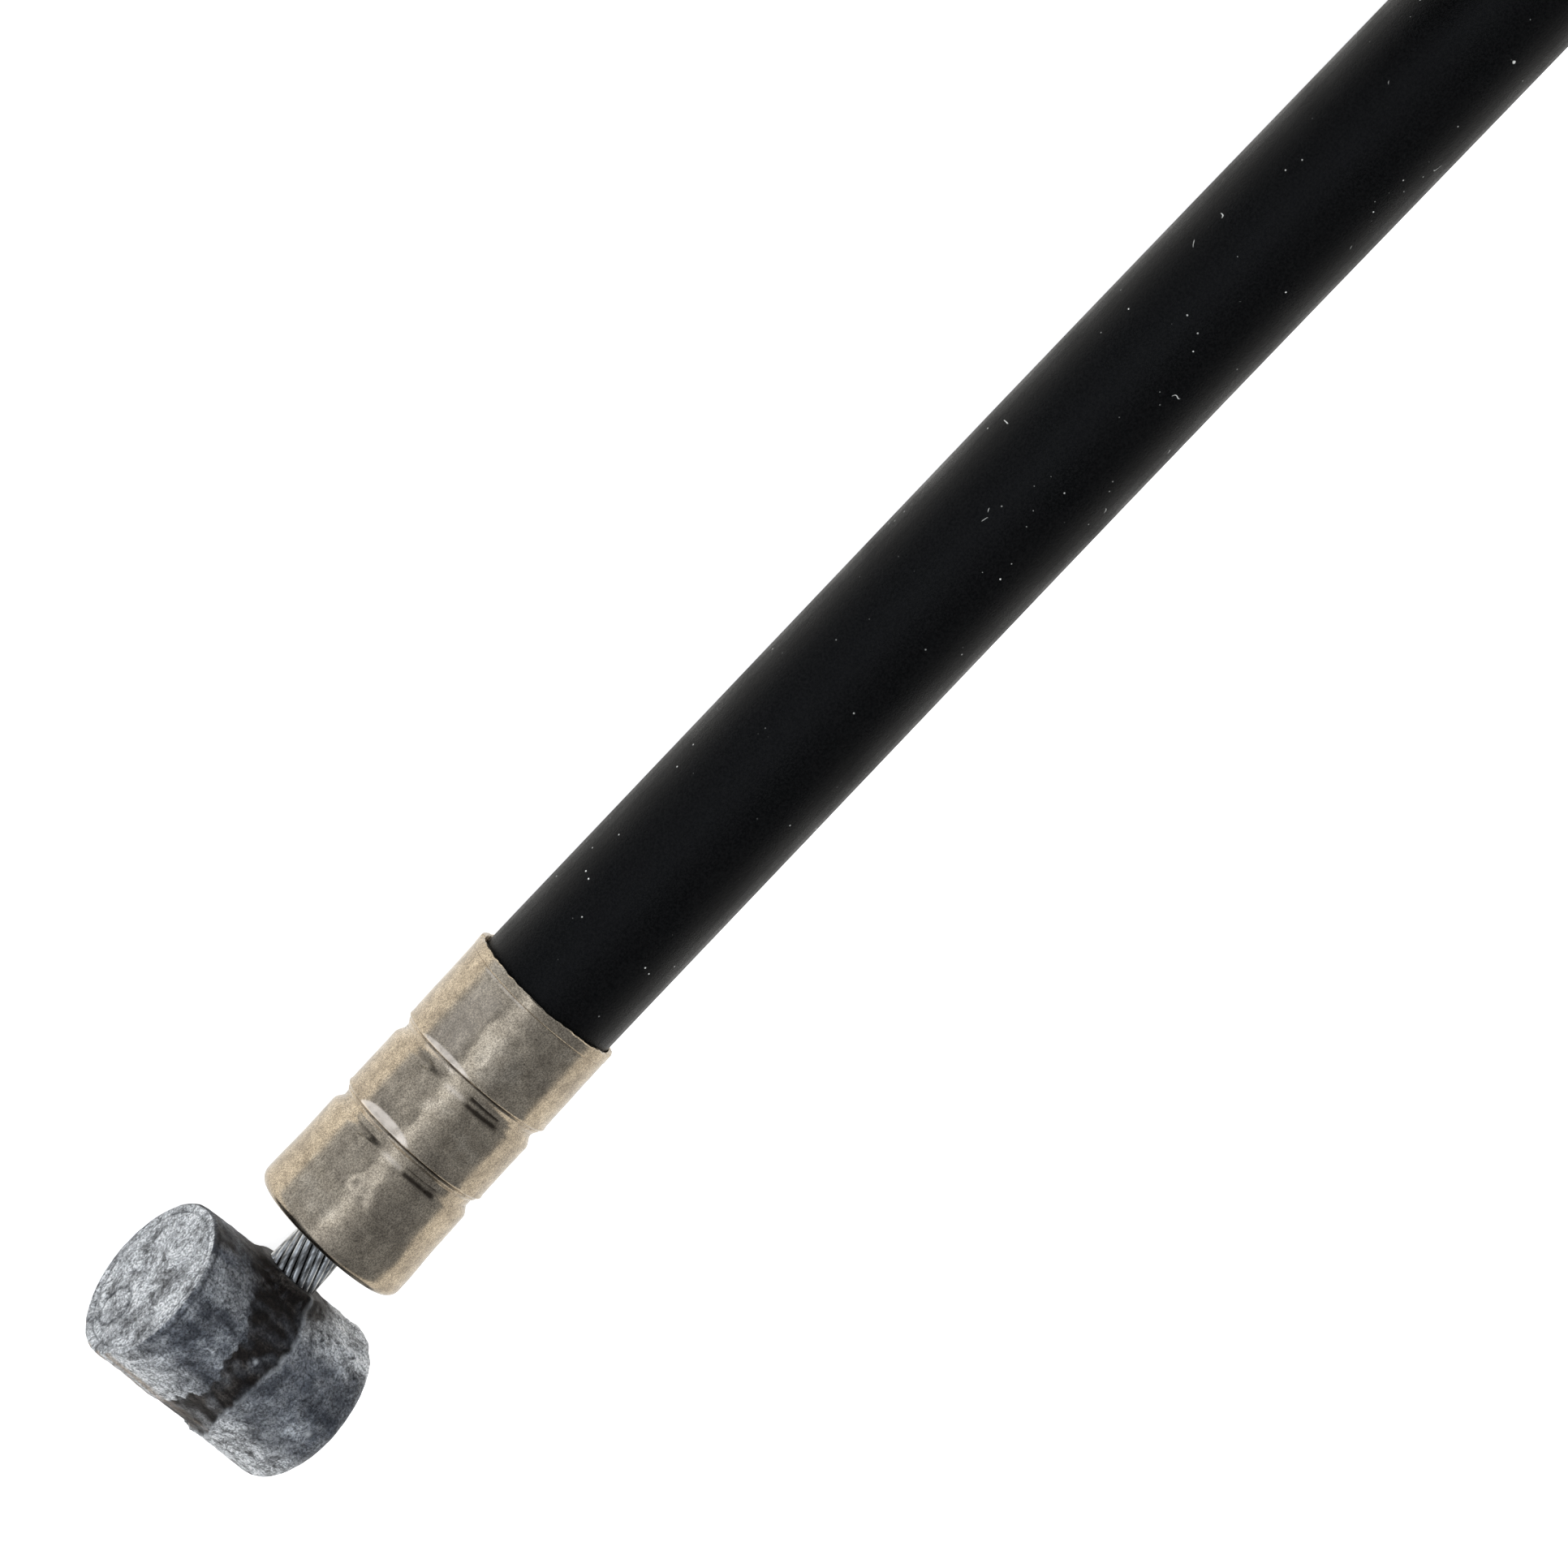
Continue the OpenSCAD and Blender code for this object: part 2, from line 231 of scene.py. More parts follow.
# ---- material helpers
class Nodes:
    """A node tree that is filled by short calls."""

    def __init__(self, tree):
        self.tree = tree

    def node(self, kind, **settings):
        made = self.tree.nodes.new(kind)
        for key, value in settings.items():
            setattr(made, key, value)
        return made

    def link(self, source, target):
        self.tree.links.new(source, target)

    def give(self, socket, value):
        """Links a socket to another node's output, or sets it to a number or a colour."""
        if isinstance(value, bpy.types.NodeSocket):
            self.link(value, socket)
        else:
            socket.default_value = (*value, 1) if isinstance(value, tuple) else value

    def ramp(self, source, stops):
        made = self.node("ShaderNodeValToRGB")
        band = made.color_ramp
        while len(band.elements) < len(stops):
            band.elements.new(0.5)
        for element, (at, colour) in zip(band.elements, stops):
            element.position = at
            element.color = (*colour, 1)
        self.link(source, made.inputs["Fac"])
        return made.outputs["Color"]

    def levels(self, source, *stops):
        """A ramp of greys from (position, level) stops."""
        return self.ramp(source, [(at, (level,) * 3) for at, level in stops])

    def mix(self, factor, a, b, blend="MIX"):
        made = self.node("ShaderNodeMix", data_type="RGBA", blend_type=blend)
        for socket, value in ((made.inputs[0], factor), (made.inputs[6], a), (made.inputs[7], b)):
            self.give(socket, value)
        return made.outputs[2]

    def times(self, a, b):
        return self.mix(1.0, a, b, "MULTIPLY")

    def math(self, kind, a, b):
        made = self.node("ShaderNodeMath", operation=kind)
        for socket, value in zip(made.inputs, (a, b)):
            self.give(socket, value)
        return made.outputs[0]


class Shader(Nodes):
    """A principled material on object coordinates."""

    def __init__(self, name):
        self.material = bpy.data.materials.new(name)
        self.material.use_nodes = True
        super().__init__(self.material.node_tree)
        self.shade = self.tree.nodes["Principled BSDF"]
        self.place = self.node("ShaderNodeTexCoord").outputs["Object"]

    def set(self, **values):
        """Sets sockets of the principled shader, whose names have _ in place of spaces."""
        for key, value in values.items():
            self.shade.inputs[key.replace("_", " ")].default_value = value

    def stretched(self, scale):
        """Object coordinates scaled by three factors."""
        mapping = self.node("ShaderNodeMapping")
        mapping.inputs["Scale"].default_value = scale
        self.link(self.place, mapping.inputs["Vector"])
        return mapping.outputs["Vector"]

    def noise(self, scale, detail=4, rough=0.55, at=None, distortion=0.0):
        made = self.node("ShaderNodeTexNoise")
        made.inputs["Scale"].default_value = scale
        made.inputs["Detail"].default_value = detail
        made.inputs["Roughness"].default_value = rough
        made.inputs["Distortion"].default_value = distortion
        self.link(at or self.place, made.inputs["Vector"])
        return made.outputs["Fac"]

    def cells(self, scale):
        """Distance from the middle of the nearest of many scattered cells."""
        made = self.node("ShaderNodeTexVoronoi")
        made.inputs["Scale"].default_value = scale
        self.link(self.place, made.inputs["Vector"])
        return made.outputs["Distance"]

    def specks(self, scale, low, high):
        """1 inside scattered small cells, 0 elsewhere."""
        return self.levels(self.cells(scale), (low, 1), (high, 0))

    def attribute(self, name):
        return self.node("ShaderNodeAttribute", attribute_name=name).outputs["Fac"]

    def colour(self, source):
        self.link(source, self.shade.inputs["Base Color"])

    def rough(self, source):
        self.link(source, self.shade.inputs["Roughness"])

    def relief(self, height, distance, strength=1.0):
        made = self.node("ShaderNodeBump")
        made.inputs["Strength"].default_value = strength
        made.inputs["Distance"].default_value = distance
        self.link(height, made.inputs["Height"])
        self.link(made.outputs["Normal"], self.shade.inputs["Normal"])


def paint(piece, name, values):
    """Keeps one number per vertex for the material to read."""
    layer = piece.data.attributes.new(name=name, type="FLOAT", domain="POINT")
    layer.data.foreach_set("value", values)


def place_piece(piece, body, slot, *nodes):
    """The piece stands for these CAD nodes and goes on their body. The slot is not used."""
    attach(piece, body)
    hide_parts(*nodes)
    return piece


# ---- materials
def vinyl_material():
    """Near black extruded vinyl: a grainy matte sheen, points of dust and a few curved fibres."""
    m = Shader("jacket_vinyl")
    m.set(Specular_IOR_Level=0.12)
    grain = m.noise(9000, detail=3, rough=0.8)
    uneven = m.mix(0.5, grain, m.noise(260, detail=3))
    m.rough(m.levels(uneven, (0.38, 0.24), (0.62, 0.48)))
    sparse = m.levels(m.noise(420, detail=1), (0.54, 0), (0.64, 1))
    dust = m.times(m.specks(1600, 0.04, 0.085), sparse)
    strands = m.levels(m.noise(1100, detail=1), (0.488, 0), (0.5, 1), (0.512, 0))
    fibres = m.times(strands, m.specks(360, 0.08, 0.1))
    base = m.levels(grain, (0.4, 0.0002), (0.62, 0.0036))
    m.colour(m.mix(m.mix(1.0, dust, fibres, "ADD"), base, (0.7, 0.7, 0.66)))
    m.relief(m.mix(0.15, grain, m.noise(120, detail=2)), 0.00003)
    return m.material


def ferrule_material():
    """Warm nickel plate over drawn steel: scuffs and pinholes, with painted shade and painted highlights
    at the crimped grooves.
    """
    m = Shader("ferrule_plate")
    m.set(Metallic=1.0, Roughness=0.3)
    patches = m.noise(420, detail=5)
    plate = m.ramp(patches, [
        (0.3, (0.44, 0.37, 0.28)), (0.55, (0.55, 0.46, 0.34)), (0.75, (0.64, 0.55, 0.425))
    ])
    stains = m.noise(1700, detail=6, rough=0.7, distortion=0.3)
    plate = m.times(plate, m.ramp(stains, [(0.36, (0.78, 0.77, 0.76)), (0.62, (1.14, 1.14, 1.14))]))
    speckle = m.noise(14000, detail=2, rough=0.8)
    plate = m.times(plate, m.levels(speckle, (0.36, 0.55), (0.64, 1.4)))
    # Painted shade at the grooves and the lip, patchy darkening at the closed end, and pinholes, all
    # mixed towards near black
    grime_and_shade = m.attribute("grime_and_shade")
    pits = m.specks(1500, 0.05, 0.1)
    dark = m.mix(1.0, m.math("MULTIPLY", grime_and_shade, 0.93), m.math("MULTIPLY", pits, 0.5), "ADD")
    # Painted highlight: a paler, less metallic plate beside the grooves and at the mouth
    painted_highlight = m.attribute("painted_highlight")
    plate = m.mix(m.math("MULTIPLY", painted_highlight, 0.8), plate, (0.86, 0.77, 0.67))
    m.link(m.math("SUBTRACT", 1.0, m.math("MULTIPLY", painted_highlight, 0.4)), m.shade.inputs["Metallic"])
    m.colour(m.mix(dark, plate, (0.05, 0.037, 0.027)))
    scratched = m.noise(900, detail=5, rough=0.7, at=m.stretched((1, 0.25, 0.25)))
    m.rough(m.levels(scratched, (0.3, 0.15), (0.75, 0.29)))
    m.relief(m.mix(0.5, m.noise(5200, detail=3, rough=0.6), patches), 0.000012, 0.4)
    return m.material


def zinc_material(name):
    """Die cast zinc: blue grey skin in flow patches, a scorched brown band and a paler gate face."""
    m = Shader(name)
    m.set(Metallic=0.55, Roughness=0.5)
    flow = m.noise(620, detail=8, rough=0.7, distortion=0.2)
    body = m.ramp(flow, [
        (0.37, (0.07, 0.078, 0.092)), (0.46, (0.145, 0.158, 0.18)), (0.52, (0.215, 0.23, 0.255)),
        (0.57, (0.32, 0.342, 0.37)), (0.65, (0.56, 0.585, 0.61)),
    ])
    crust = m.noise(1150, detail=10, rough=0.8, distortion=0.4)
    pale_skin = m.ramp(crust, [
        (0.37, (0.07, 0.07, 0.07)), (0.43, (0.3, 0.305, 0.31)), (0.48, (0.6, 0.615, 0.625)),
        (0.55, (0.88, 0.9, 0.91)), (0.62, (1.0, 1.0, 1.0)),
    ])
    folds = m.noise(620, detail=9, rough=0.62, distortion=0.9)
    cracks = m.ramp(folds, [(0.488, (1, 1, 1)), (0.5, (0.3, 0.3, 0.31)), (0.512, (1, 1, 1))])
    skin = m.mix(m.attribute("pale"), body, pale_skin)
    drawn = m.noise(1700, detail=6, rough=0.7, at=m.stretched((1, 0.35, 1)))
    # Near black brown for the scorched band, and for the painted shade round the wire, in the crease and
    # on the side towards +X
    scorch_and_shade = m.ramp(drawn, [
        (0.38, (0.006, 0.0045, 0.004)), (0.52, (0.02, 0.0155, 0.013)), (0.68, (0.1, 0.09, 0.08))
    ])
    skin = m.mix(m.attribute("shade"), skin, (0.022, 0.026, 0.034))
    skin = m.mix(m.attribute("scorch_and_shade"), skin, scorch_and_shade)
    skin = m.mix(m.attribute("brown"), skin, (0.38, 0.295, 0.22))
    skin = m.times(skin, cracks)
    grit = m.noise(7500, detail=4, rough=0.85)
    skin = m.times(skin, m.levels(grit, (0.38, 0.3), (0.62, 1.75)))
    # Painted highlight along the flash line, and bright flecks
    skin = m.mix(m.attribute("bright"), skin, (0.8, 0.82, 0.83))
    m.colour(skin)
    m.rough(m.levels(crust, (0.3, 0.36), (0.7, 0.62)))
    m.relief(m.mix(0.45, crust, grit), 0.0004, 1.0)
    return m.material


def strand_material():
    """Bright drawn steel wire with thin oil, grit and painted shade in its lays."""
    m = Shader("wire_steel")
    m.set(Metallic=1.0, Roughness=0.26)
    drawn = m.noise(3200, detail=5, rough=0.7, at=m.stretched((0.35, 1, 1)))
    steel = m.ramp(drawn, [
        (0.32, (0.1, 0.1, 0.095)), (0.45, (0.36, 0.36, 0.35)), (0.6, (0.72, 0.73, 0.72))
    ])
    # Grit and painted shade darken the parts of each wire that turn in from the rope's outside
    m.colour(m.mix(m.attribute("dirt_and_lay_shade"), steel, (0.012, 0.011, 0.01)))
    m.rough(m.levels(drawn, (0.3, 0.4), (0.7, 0.2)))
    m.relief(m.noise(5000, detail=3), 0.000008, 0.4)
    return m.material


def oily_strand_material():
    """The wires under the outer layer, dark with oil."""
    m = Shader("wire_steel_inner")
    m.set(Metallic=1.0, Roughness=0.34)
    drawn = m.noise(1500, detail=3)
    m.colour(m.ramp(drawn, [(0.35, (0.03, 0.028, 0.025)), (0.7, (0.12, 0.115, 0.105))]))
    m.relief(drawn, 0.000008, 0.4)
    return m.material


def armour_material():
    """Flat steel wire wound close, as fine bands along X."""
    m = Shader("armour_steel")
    m.set(Metallic=1.0, Roughness=0.38)
    wound = m.node("ShaderNodeTexWave", wave_type="BANDS", bands_direction="X")
    wound.inputs["Scale"].default_value = 420
    wound.inputs["Distortion"].default_value = 0.4
    m.link(m.place, wound.inputs["Vector"])
    spots = m.noise(1200)
    m.colour(m.mix(spots, (0.2, 0.2, 0.2), (0.5, 0.49, 0.47)))
    m.relief(wound.outputs["Fac"], 0.00015, 0.8)
    return m.material


def liner_material():
    """Milky nylon."""
    m = Shader("liner_nylon")
    m.set(Roughness=0.4, IOR=1.5, Subsurface_Weight=0.1, Subsurface_Radius=(0.001, 0.001, 0.001))
    milky = m.noise(700)
    m.colour(m.mix(milky, (0.62, 0.6, 0.54), (0.78, 0.77, 0.72)))
    m.relief(milky, 0.00002, 0.4)
    return m.material


def tie_material():
    """Black moulded nylon."""
    m = Shader("tie_nylon")
    m.set(Roughness=0.42)
    clouds = m.noise(500, detail=4)
    m.colour(m.mix(clouds, (0.012, 0.012, 0.013), (0.026, 0.026, 0.027)))
    m.rough(m.levels(clouds, (0.3, 0.34), (0.7, 0.5)))
    m.relief(m.noise(2600, detail=3), 0.00002, 0.5)
    return m.material


def plated_material(name, dull, bright, spread):
    """Zinc plated steel: a crystalline bright grey with the passivate's soft colour drift."""
    m = Shader(name)
    m.set(Metallic=1.0, Roughness=0.32)
    colour = m.mix(m.noise(260, detail=4), dull, bright)
    m.colour(m.mix(m.math("MULTIPLY", m.cells(spread), 0.35), colour, (0.2, 0.2, 0.2)))
    m.rough(m.levels(m.noise(1400, detail=5), (0.3, 0.24), (0.7, 0.42)))
    m.relief(m.noise(3000, detail=4), 0.00002, 0.45)
    return m.material


def rubber_material():
    """Black rubber with a grey bloom."""
    m = Shader("boot_rubber")
    m.set(Roughness=0.62, Specular_IOR_Level=0.35)
    bloom = m.noise(420, detail=5)
    m.colour(m.ramp(bloom, [(0.35, (0.01, 0.01, 0.0105)), (0.75, (0.035, 0.034, 0.032))]))
    m.rough(m.levels(bloom, (0.3, 0.5), (0.7, 0.72)))
    m.relief(m.noise(3600, detail=4), 0.00003, 0.5)
    return m.material


VINYL = vinyl_material()
STRAND = strand_material()
OILY = oily_strand_material()
BODY_PLATE = plated_material("adjuster_zinc_plate", (0.5, 0.48, 0.4), (0.66, 0.66, 0.6), 900)
NUT_PLATE = plated_material("nut_plate", (0.52, 0.5, 0.42), (0.7, 0.69, 0.62), 700)
TIE = tie_material()
WASHER_STEEL = plated_material("washer_steel", (0.4, 0.41, 0.42), (0.6, 0.61, 0.62), 1100)


# ---- the housing: one long cord
LEAD_START, LEAD_END, LEAD_STEP = 1.0, 114.0, 4
COIL_CENTRE = Vector(((COIL_LOW.x + COIL_HIGH.x) / 2, (COIL_LOW.y + COIL_HIGH.y) / 2, 0))
OUTER_TURN_R = 46.0
INNER_TURN_R = OUTER_TURN_R - HOUSING_D
LOW_LAYER_Z = 0.225
HIGH_LAYER_Z = LOW_LAYER_Z + HOUSING_D
LEAD_RISE_START = 80.0
# The lead bows sideways: how far, and where along X the bow grows and fades
LEAD_BOW = 0.34
BOW_GROWS, BOW_FADES = (-8, 16), (42, 102)
COIL_START_DEG, COIL_END_DEG, COIL_STEP_DEG = -90, 1170, 5
# Where the coil steps in to its inner turn, climbs to its upper layer and steps out again
STEP_IN_DEG, CLIMB_DEG, STEP_OUT_DEG = (190, 250), (490, 560), (810, 890)
# (x, z) down from the coil's upper layer to the adjuster
TAIL = (
    (108, 7.5), (102, 7.4), (96, 7.0), (90, 6.1), (84, 4.9), (78, 3.7), (73, 3.1), (68, 3.0), (62, 3.0)
)


def ease(value, start, end):
    """Rises from 0 to 1 between start and end as a cosine does."""
    return (1 - math.cos(math.pi * clamp((value - start) / (end - start)))) / 2


def coil_place(deg):
    """Radius and height of the housing's middle where its coil has turned to this angle."""
    inward = ease(deg, *STEP_IN_DEG) - ease(deg, *STEP_OUT_DEG)
    radius = OUTER_TURN_R + (INNER_TURN_R - OUTER_TURN_R) * inward
    return radius, LOW_LAYER_Z + (HIGH_LAYER_Z - LOW_LAYER_Z) * ease(deg, *CLIMB_DEG)


def housing_route():
    """The middle of the housing from inside the ferrule, round the coil to the adjuster."""
    route = []
    x = LEAD_START
    while x < LEAD_END - 1:
        bow = LEAD_BOW * ease(x, *BOW_GROWS) * (1 - ease(x, *BOW_FADES))
        route.append(Vector((x, bow, LOW_LAYER_Z * ease(x, LEAD_RISE_START, LEAD_END))))
        x += LEAD_STEP
    for deg in range(COIL_START_DEG, COIL_END_DEG + 1, COIL_STEP_DEG):
        radius, z = coil_place(deg)
        a = math.radians(deg)
        route.append(COIL_CENTRE + Vector((radius * math.cos(a), radius * math.sin(a), z)))
    return route + [Vector((x, BRAKE_Y, z)) for x, z in TAIL]


def make_housing():
    """The whole vinyl housing as one round tube along its route."""
    curve = bpy.data.curves.new("housing", "CURVE")
    curve.dimensions = "3D"
    route = housing_route()
    spline = curve.splines.new("POLY")
    spline.points.add(len(route) - 1)
    for point, place in zip(spline.points, route):
        point.co = (*(place * MM), 1)
    spline.use_smooth = True
    curve.bevel_depth = HOUSING_D * MM / 2
    curve.bevel_resolution = 14
    curve.use_fill_caps = True
    curve.materials.append(VINYL)
    piece = added("housing", curve)
    return place_piece(
        piece, "housing", "jacket_vinyl", "housing_jacket", "housing_coil", "housing_tail"
    )


housing = make_housing()


# ---- ferrule
FERRULE_SIDES = 200
# Each rolled groove as (middle, lean out of square, depth, length of the painted highlight on its
# shoulder)
CRIMPS = ((5.57, 0.1, 0.3, 0.6), (9.72, 0.17, 0.25, 0.38))
CRIMP_LEAN_DEG = 107
CRIMP_HALF = 0.6
# The crease past a groove's middle and the lip beyond it
CRIMP_STEP = 0.42
LIP_STEP = CRIMP_STEP + 0.16
# Painted shade and painted highlights beside each groove as (distance past its middle, width, first
# angle, last angle, soft edge, strength)
SHADE_BARS = ((-0.45, 0.12, 73, 97, 4, 1.1), (-0.1, 0.11, 73, 97, 4, 1.1), (-0.18, 0.14, 26, 40, 9, 0.4))
HIGHLIGHT_BARS = ((0.24, 0.09, 24, 48, 6, 0.5), (-0.36, 0.12, 55, 66, 5, 0.5))
# The middle angle and half width of the highlight painted on each groove's shoulder
SHOULDER_DEG, SHOULDER_HALF_DEG = 38, 25
FERRULE_WALL = 0.25
# Dents as (x, angle from +Y towards +Z in degrees, half length, half width, depth)
DENTS = (
    (3.4, 56, 0.32, 0.42, 0.13), (3.15, 64, 0.3, 0.3, 0.07), (4.2, 58, 0.4, 0.3, 0.05),
    (4.4, 44, 0.4, 0.5, 0.08), (7.3, 47, 0.5, 0.35, 0.055), (12.6, 46, 0.5, 0.4, -0.09),
    (13.0, 72, 0.24, 0.46, 0.07), (11.4, 56, 0.26, 0.3, 0.06), (2.0, 104, 0.6, 0.6, 0.05),
)
FERRULE_TILT = math.tan(math.radians(1.4))
FERRULE_ASIDE = 0.04
MOUTH_RAGGED = 0.6


def past_crimp(x, deg, crimp):
    """How far a place on the ferrule is past the middle of a groove."""
    return x - crimp[0] - crimp[1] * math.cos(math.radians(deg - CRIMP_LEAN_DEG))


def crimp_depth(x, deg):
    """How far the grooves press the ferrule in, with the crease and the lip beside each."""
    depth = 0.0
    for crimp in CRIMPS:
        d = past_crimp(x, deg, crimp)
        depth += crimp[2] * (1 - smooth(abs(d) / CRIMP_HALF))
        depth += 0.05 * bump(d - CRIMP_STEP, 0.045) - 0.03 * bump(d - LIP_STEP, 0.1)
    return depth


def ferrule_place(along, radius, angle, worked=False):
    """A place on the leaning ferrule. Its worked outside has the grooves, dents and a slight ripple."""
    y, z = math.cos(angle), math.sin(angle)
    r = radius
    if worked:
        r -= crimp_depth(along, math.degrees(math.atan2(z, y)))
        for x, deg, half_length, half_width, depth in DENTS:
            turn = math.remainder(angle - math.radians(deg), TURN) * radius
            r -= depth * bump(math.hypot((along - x) / half_length, turn / half_width), 1)
        r += 0.022 * field(along * 0.35, y * 2.2, z * 2.2, 1) + 0.006 * field(along, y * 5, z * 5, 2)
    ragged = smooth((along - FERRULE_MOUTH + MOUTH_RAGGED) / 0.5)
    ragged *= 0.1 * field(0, y * 3, z * 3, 3) + 0.06 * field(0, y * 14, z * 14, 4)
    return (along + ragged, r * y + FERRULE_ASIDE + along * FERRULE_TILT, r * z)


def bars(rows, d, deg):
    """How strong these marks are, at a distance past a groove's middle and an angle."""
    return sum(strength * span(deg, first, last, soft) * bump(d - past, width)
               for past, width, first, last, soft, strength in rows)


def crimp_marks(x, deg):
    """How much painted shade and painted highlight the ferrule has beside its grooves."""
    painted_shade, pale = 0.0, 0.0
    for crimp in CRIMPS:
        d = past_crimp(x, deg, crimp)
        # Painted shade along the crease past each groove's middle and in dark bars beside it
        crease = bump(d - CRIMP_STEP, 0.05) * (0.3 + 0.7 * span(deg, 50, 98, 8))
        painted_shade += crease * span(deg, 14, 106, 8) + bars(SHADE_BARS, d, deg)
        # A painted highlight on the shoulder beyond each groove, and painted highlight bars
        off_middle = (deg - SHOULDER_DEG) / SHOULDER_HALF_DEG
        reach = crimp[3] * math.sqrt(clamp(1 - off_middle ** 2))
        if reach > 0:
            pale += span(d, CRIMP_STEP + 0.1, CRIMP_STEP + reach - 0.06, 0.1) * smooth(reach * 4)
        pale += bars(HIGHLIGHT_BARS, d, deg)
    return painted_shade, pale


def ferrule_outline():
    """(x, radius) of the ferrule's outside, with closer steps at the grooves, and of its inside."""
    end_r, middle_r, mouth_r, hole_r = 4.03, 3.93, 3.96, 1.45
    x0, x1 = FERRULE_END, FERRULE_MOUTH
    first, first_end = (x0 + 4.7, middle_r + 0.02), (x0 + 6.7, middle_r)
    second, second_end = (x0 + 8.9, middle_r), (x0 + 10.8, mouth_r)
    outside = dense(
        [(x0 + 0.02, hole_r + 0.12), (x0, hole_r + 0.3)]
        + arc(x0 + 0.6, end_r - 0.6, 0.6, 180, 90, 10)
        + [(x0 + 1.3, end_r), (x0 + 3.0, middle_r + 0.03), first], 0.1)
    outside += dense([first, first_end], 0.04)[1:]
    outside += dense([first_end, second], 0.1)[1:]
    outside += dense([second, second_end], 0.04)[1:]
    outside += dense(
        [second_end, (x1 - 0.62, mouth_r), (x1 - 0.56, mouth_r - 0.03), (x1 - 0.5, mouth_r + 0.02),
         (x1 - 0.05, mouth_r + 0.02)], 0.1)[1:]
    inside = [
        (x1, mouth_r - 0.04), (x1, mouth_r - FERRULE_WALL + 0.04), (x1 - 0.06, mouth_r - FERRULE_WALL),
        (x0 + 1.0, end_r - 0.35), (x0 + 1.0, hole_r), (x0 + 0.1, hole_r),
    ]
    return outside, inside


def ferrule_dark_and_highlight(x, y, z):
    """How dark the ferrule is at a place, from painted shade and from darkening at its closed end, and
    how much painted highlight it has.
    """
    deg = math.degrees(math.atan2(z, y - FERRULE_ASIDE - x * FERRULE_TILT))
    painted_shade, pale = crimp_marks(x, deg)
    # Painted shade in the dip behind the mouth's lip; darker in patches towards the closed end
    lip = bump(x - (FERRULE_MOUTH - 0.56), 0.05)
    foot = bump(x - FERRULE_END, 0.35) * smooth(0.5 + 2 * field(x, y, z, 5))
    patchy = 0.7 + 0.7 * field(y * 0.8, z * 0.8, 0, 6)
    blotchy = 1.15 + 0.5 * field(x, y * 3, z * 3, 7)
    grime_and_shade = painted_shade * blotchy + (0.15 * lip + 0.5 * foot) * patchy
    # Painted highlights: a broad band towards the mouth and a line along the start of its flare
    highlights_and_dark_patches = 0.17 * span(x, 11.0, 13.6, 0.8) * span(deg, 27, 41, 9)
    highlights_and_dark_patches += 0.5 * bump(x - (FERRULE_MOUTH - 0.62), 0.06) * span(deg, 20, 54, 6)
    return clamp(grime_and_shade), clamp(pale * (0.8 + 0.5 * field(x * 2, y * 3, z * 3, 8)) + highlights_and_dark_patches)


def make_ferrule():
    def outer_place(along, radius, angle):
        return ferrule_place(along, radius, angle, worked=radius > 3)

    outside, inside = ferrule_outline()
    verts = lathe(outside, FERRULE_SIDES, outer_place) + lathe(inside, FERRULE_SIDES, ferrule_place)
    faces = ring_faces(len(outside) + len(inside), FERRULE_SIDES)
    piece = mesh_object("ferrule", verts, faces, ferrule_material(), 35)
    grime_and_shade, painted_highlight = zip(*(ferrule_dark_and_highlight(*place) for place in verts))
    paint(piece, "grime_and_shade", grime_and_shade)
    paint(piece, "painted_highlight", painted_highlight)
    return place_piece(piece, "housing", "ferrule_plate", "lever_ferrule")


make_ferrule()

# ---- cast nipples
NIPPLE_SIDES = 320
NIPPLE_STEP = 0.08
SKIN_R = NIPPLE_R + 0.08
GATE_FACE_Y = NIPPLE_HALF + 0.05
FAR_FACE_Y = -NIPPLE_HALF - 0.3
BOSS_R = 1.75
BOSS_PROUD = 0.2
SCORCH_DEPTH = 0.084
GATE_MARK = Vector((-2.06, -0.69))
GATE_MARK_R = 1.0
GATE_RIM_R = 3.6
FLASH_HALF, FLASH_PROUD = 0.09, 0.11
# Zones of the cast skin and of the light and shade painted on it: where each begins and is full, as an
# angle from +X towards +Z in degrees or as y
# Painted light: the side from 100 degrees on turns pale, fully at 138
LIT_SIDE_DEG = (100, 138)
BROWN_DEG = (140, 154)
ROUGH_DEG, ROUGH_LOW_DEG = (58, 36), (-40, -10)
# Painted shade on the side towards +X: the angles and the y where it begins and is full
SHADED_SIDE_DEG, SHADED_SIDE_Y = (38, 22), (1.0, 2.2)
UPPER_DEG, UPPER_Y = (42, 62), (1.9, 2.5)
# A seam in shade beside the gate face and a shallow groove along the barrel
SEAM_DEG, SEAM_Y = (115, 95), GATE_FACE_Y - 0.25
GROOVE_DEG, GROOVE_Y = 72, (1.6, 2.4)
# Small bright flecks as (angle, y, width)
FLECKS = ((94, -4.0, 0.14), (79, 0.35, 0.1))
MM_PER_DEG = 0.07


def ridge_y(deg, seed):
    """Where the flash line of the mould runs round the nipple, at an angle from +X towards +Z."""
    wave = -0.44 - 0.95 * smooth((deg - 113) / 42) - 0.35 * smooth((97 - deg) / 45)
    a = math.radians(deg)
    jag = 0.12 * field(math.cos(a) * 3, math.sin(a) * 3, 0, seed + 1)
    return wave + jag + 0.14 * field(math.cos(a) * 16, math.sin(a) * 16, 0, seed + 2)


def scorch_edge_y(deg, seed):
    """Where the scorched band ends towards the gate face."""
    a = math.radians(deg)
    drift = 1.8 - 0.65 * smooth((deg - 63) / 43) + 0.2 * smooth((deg - 120) / 30)
    return drift + 0.75 * field(math.cos(a) * 2.6, math.sin(a) * 2.6, 0, seed + 3) \
        + 0.45 * field(math.cos(a) * 11, math.sin(a) * 11, 0, seed + 4)


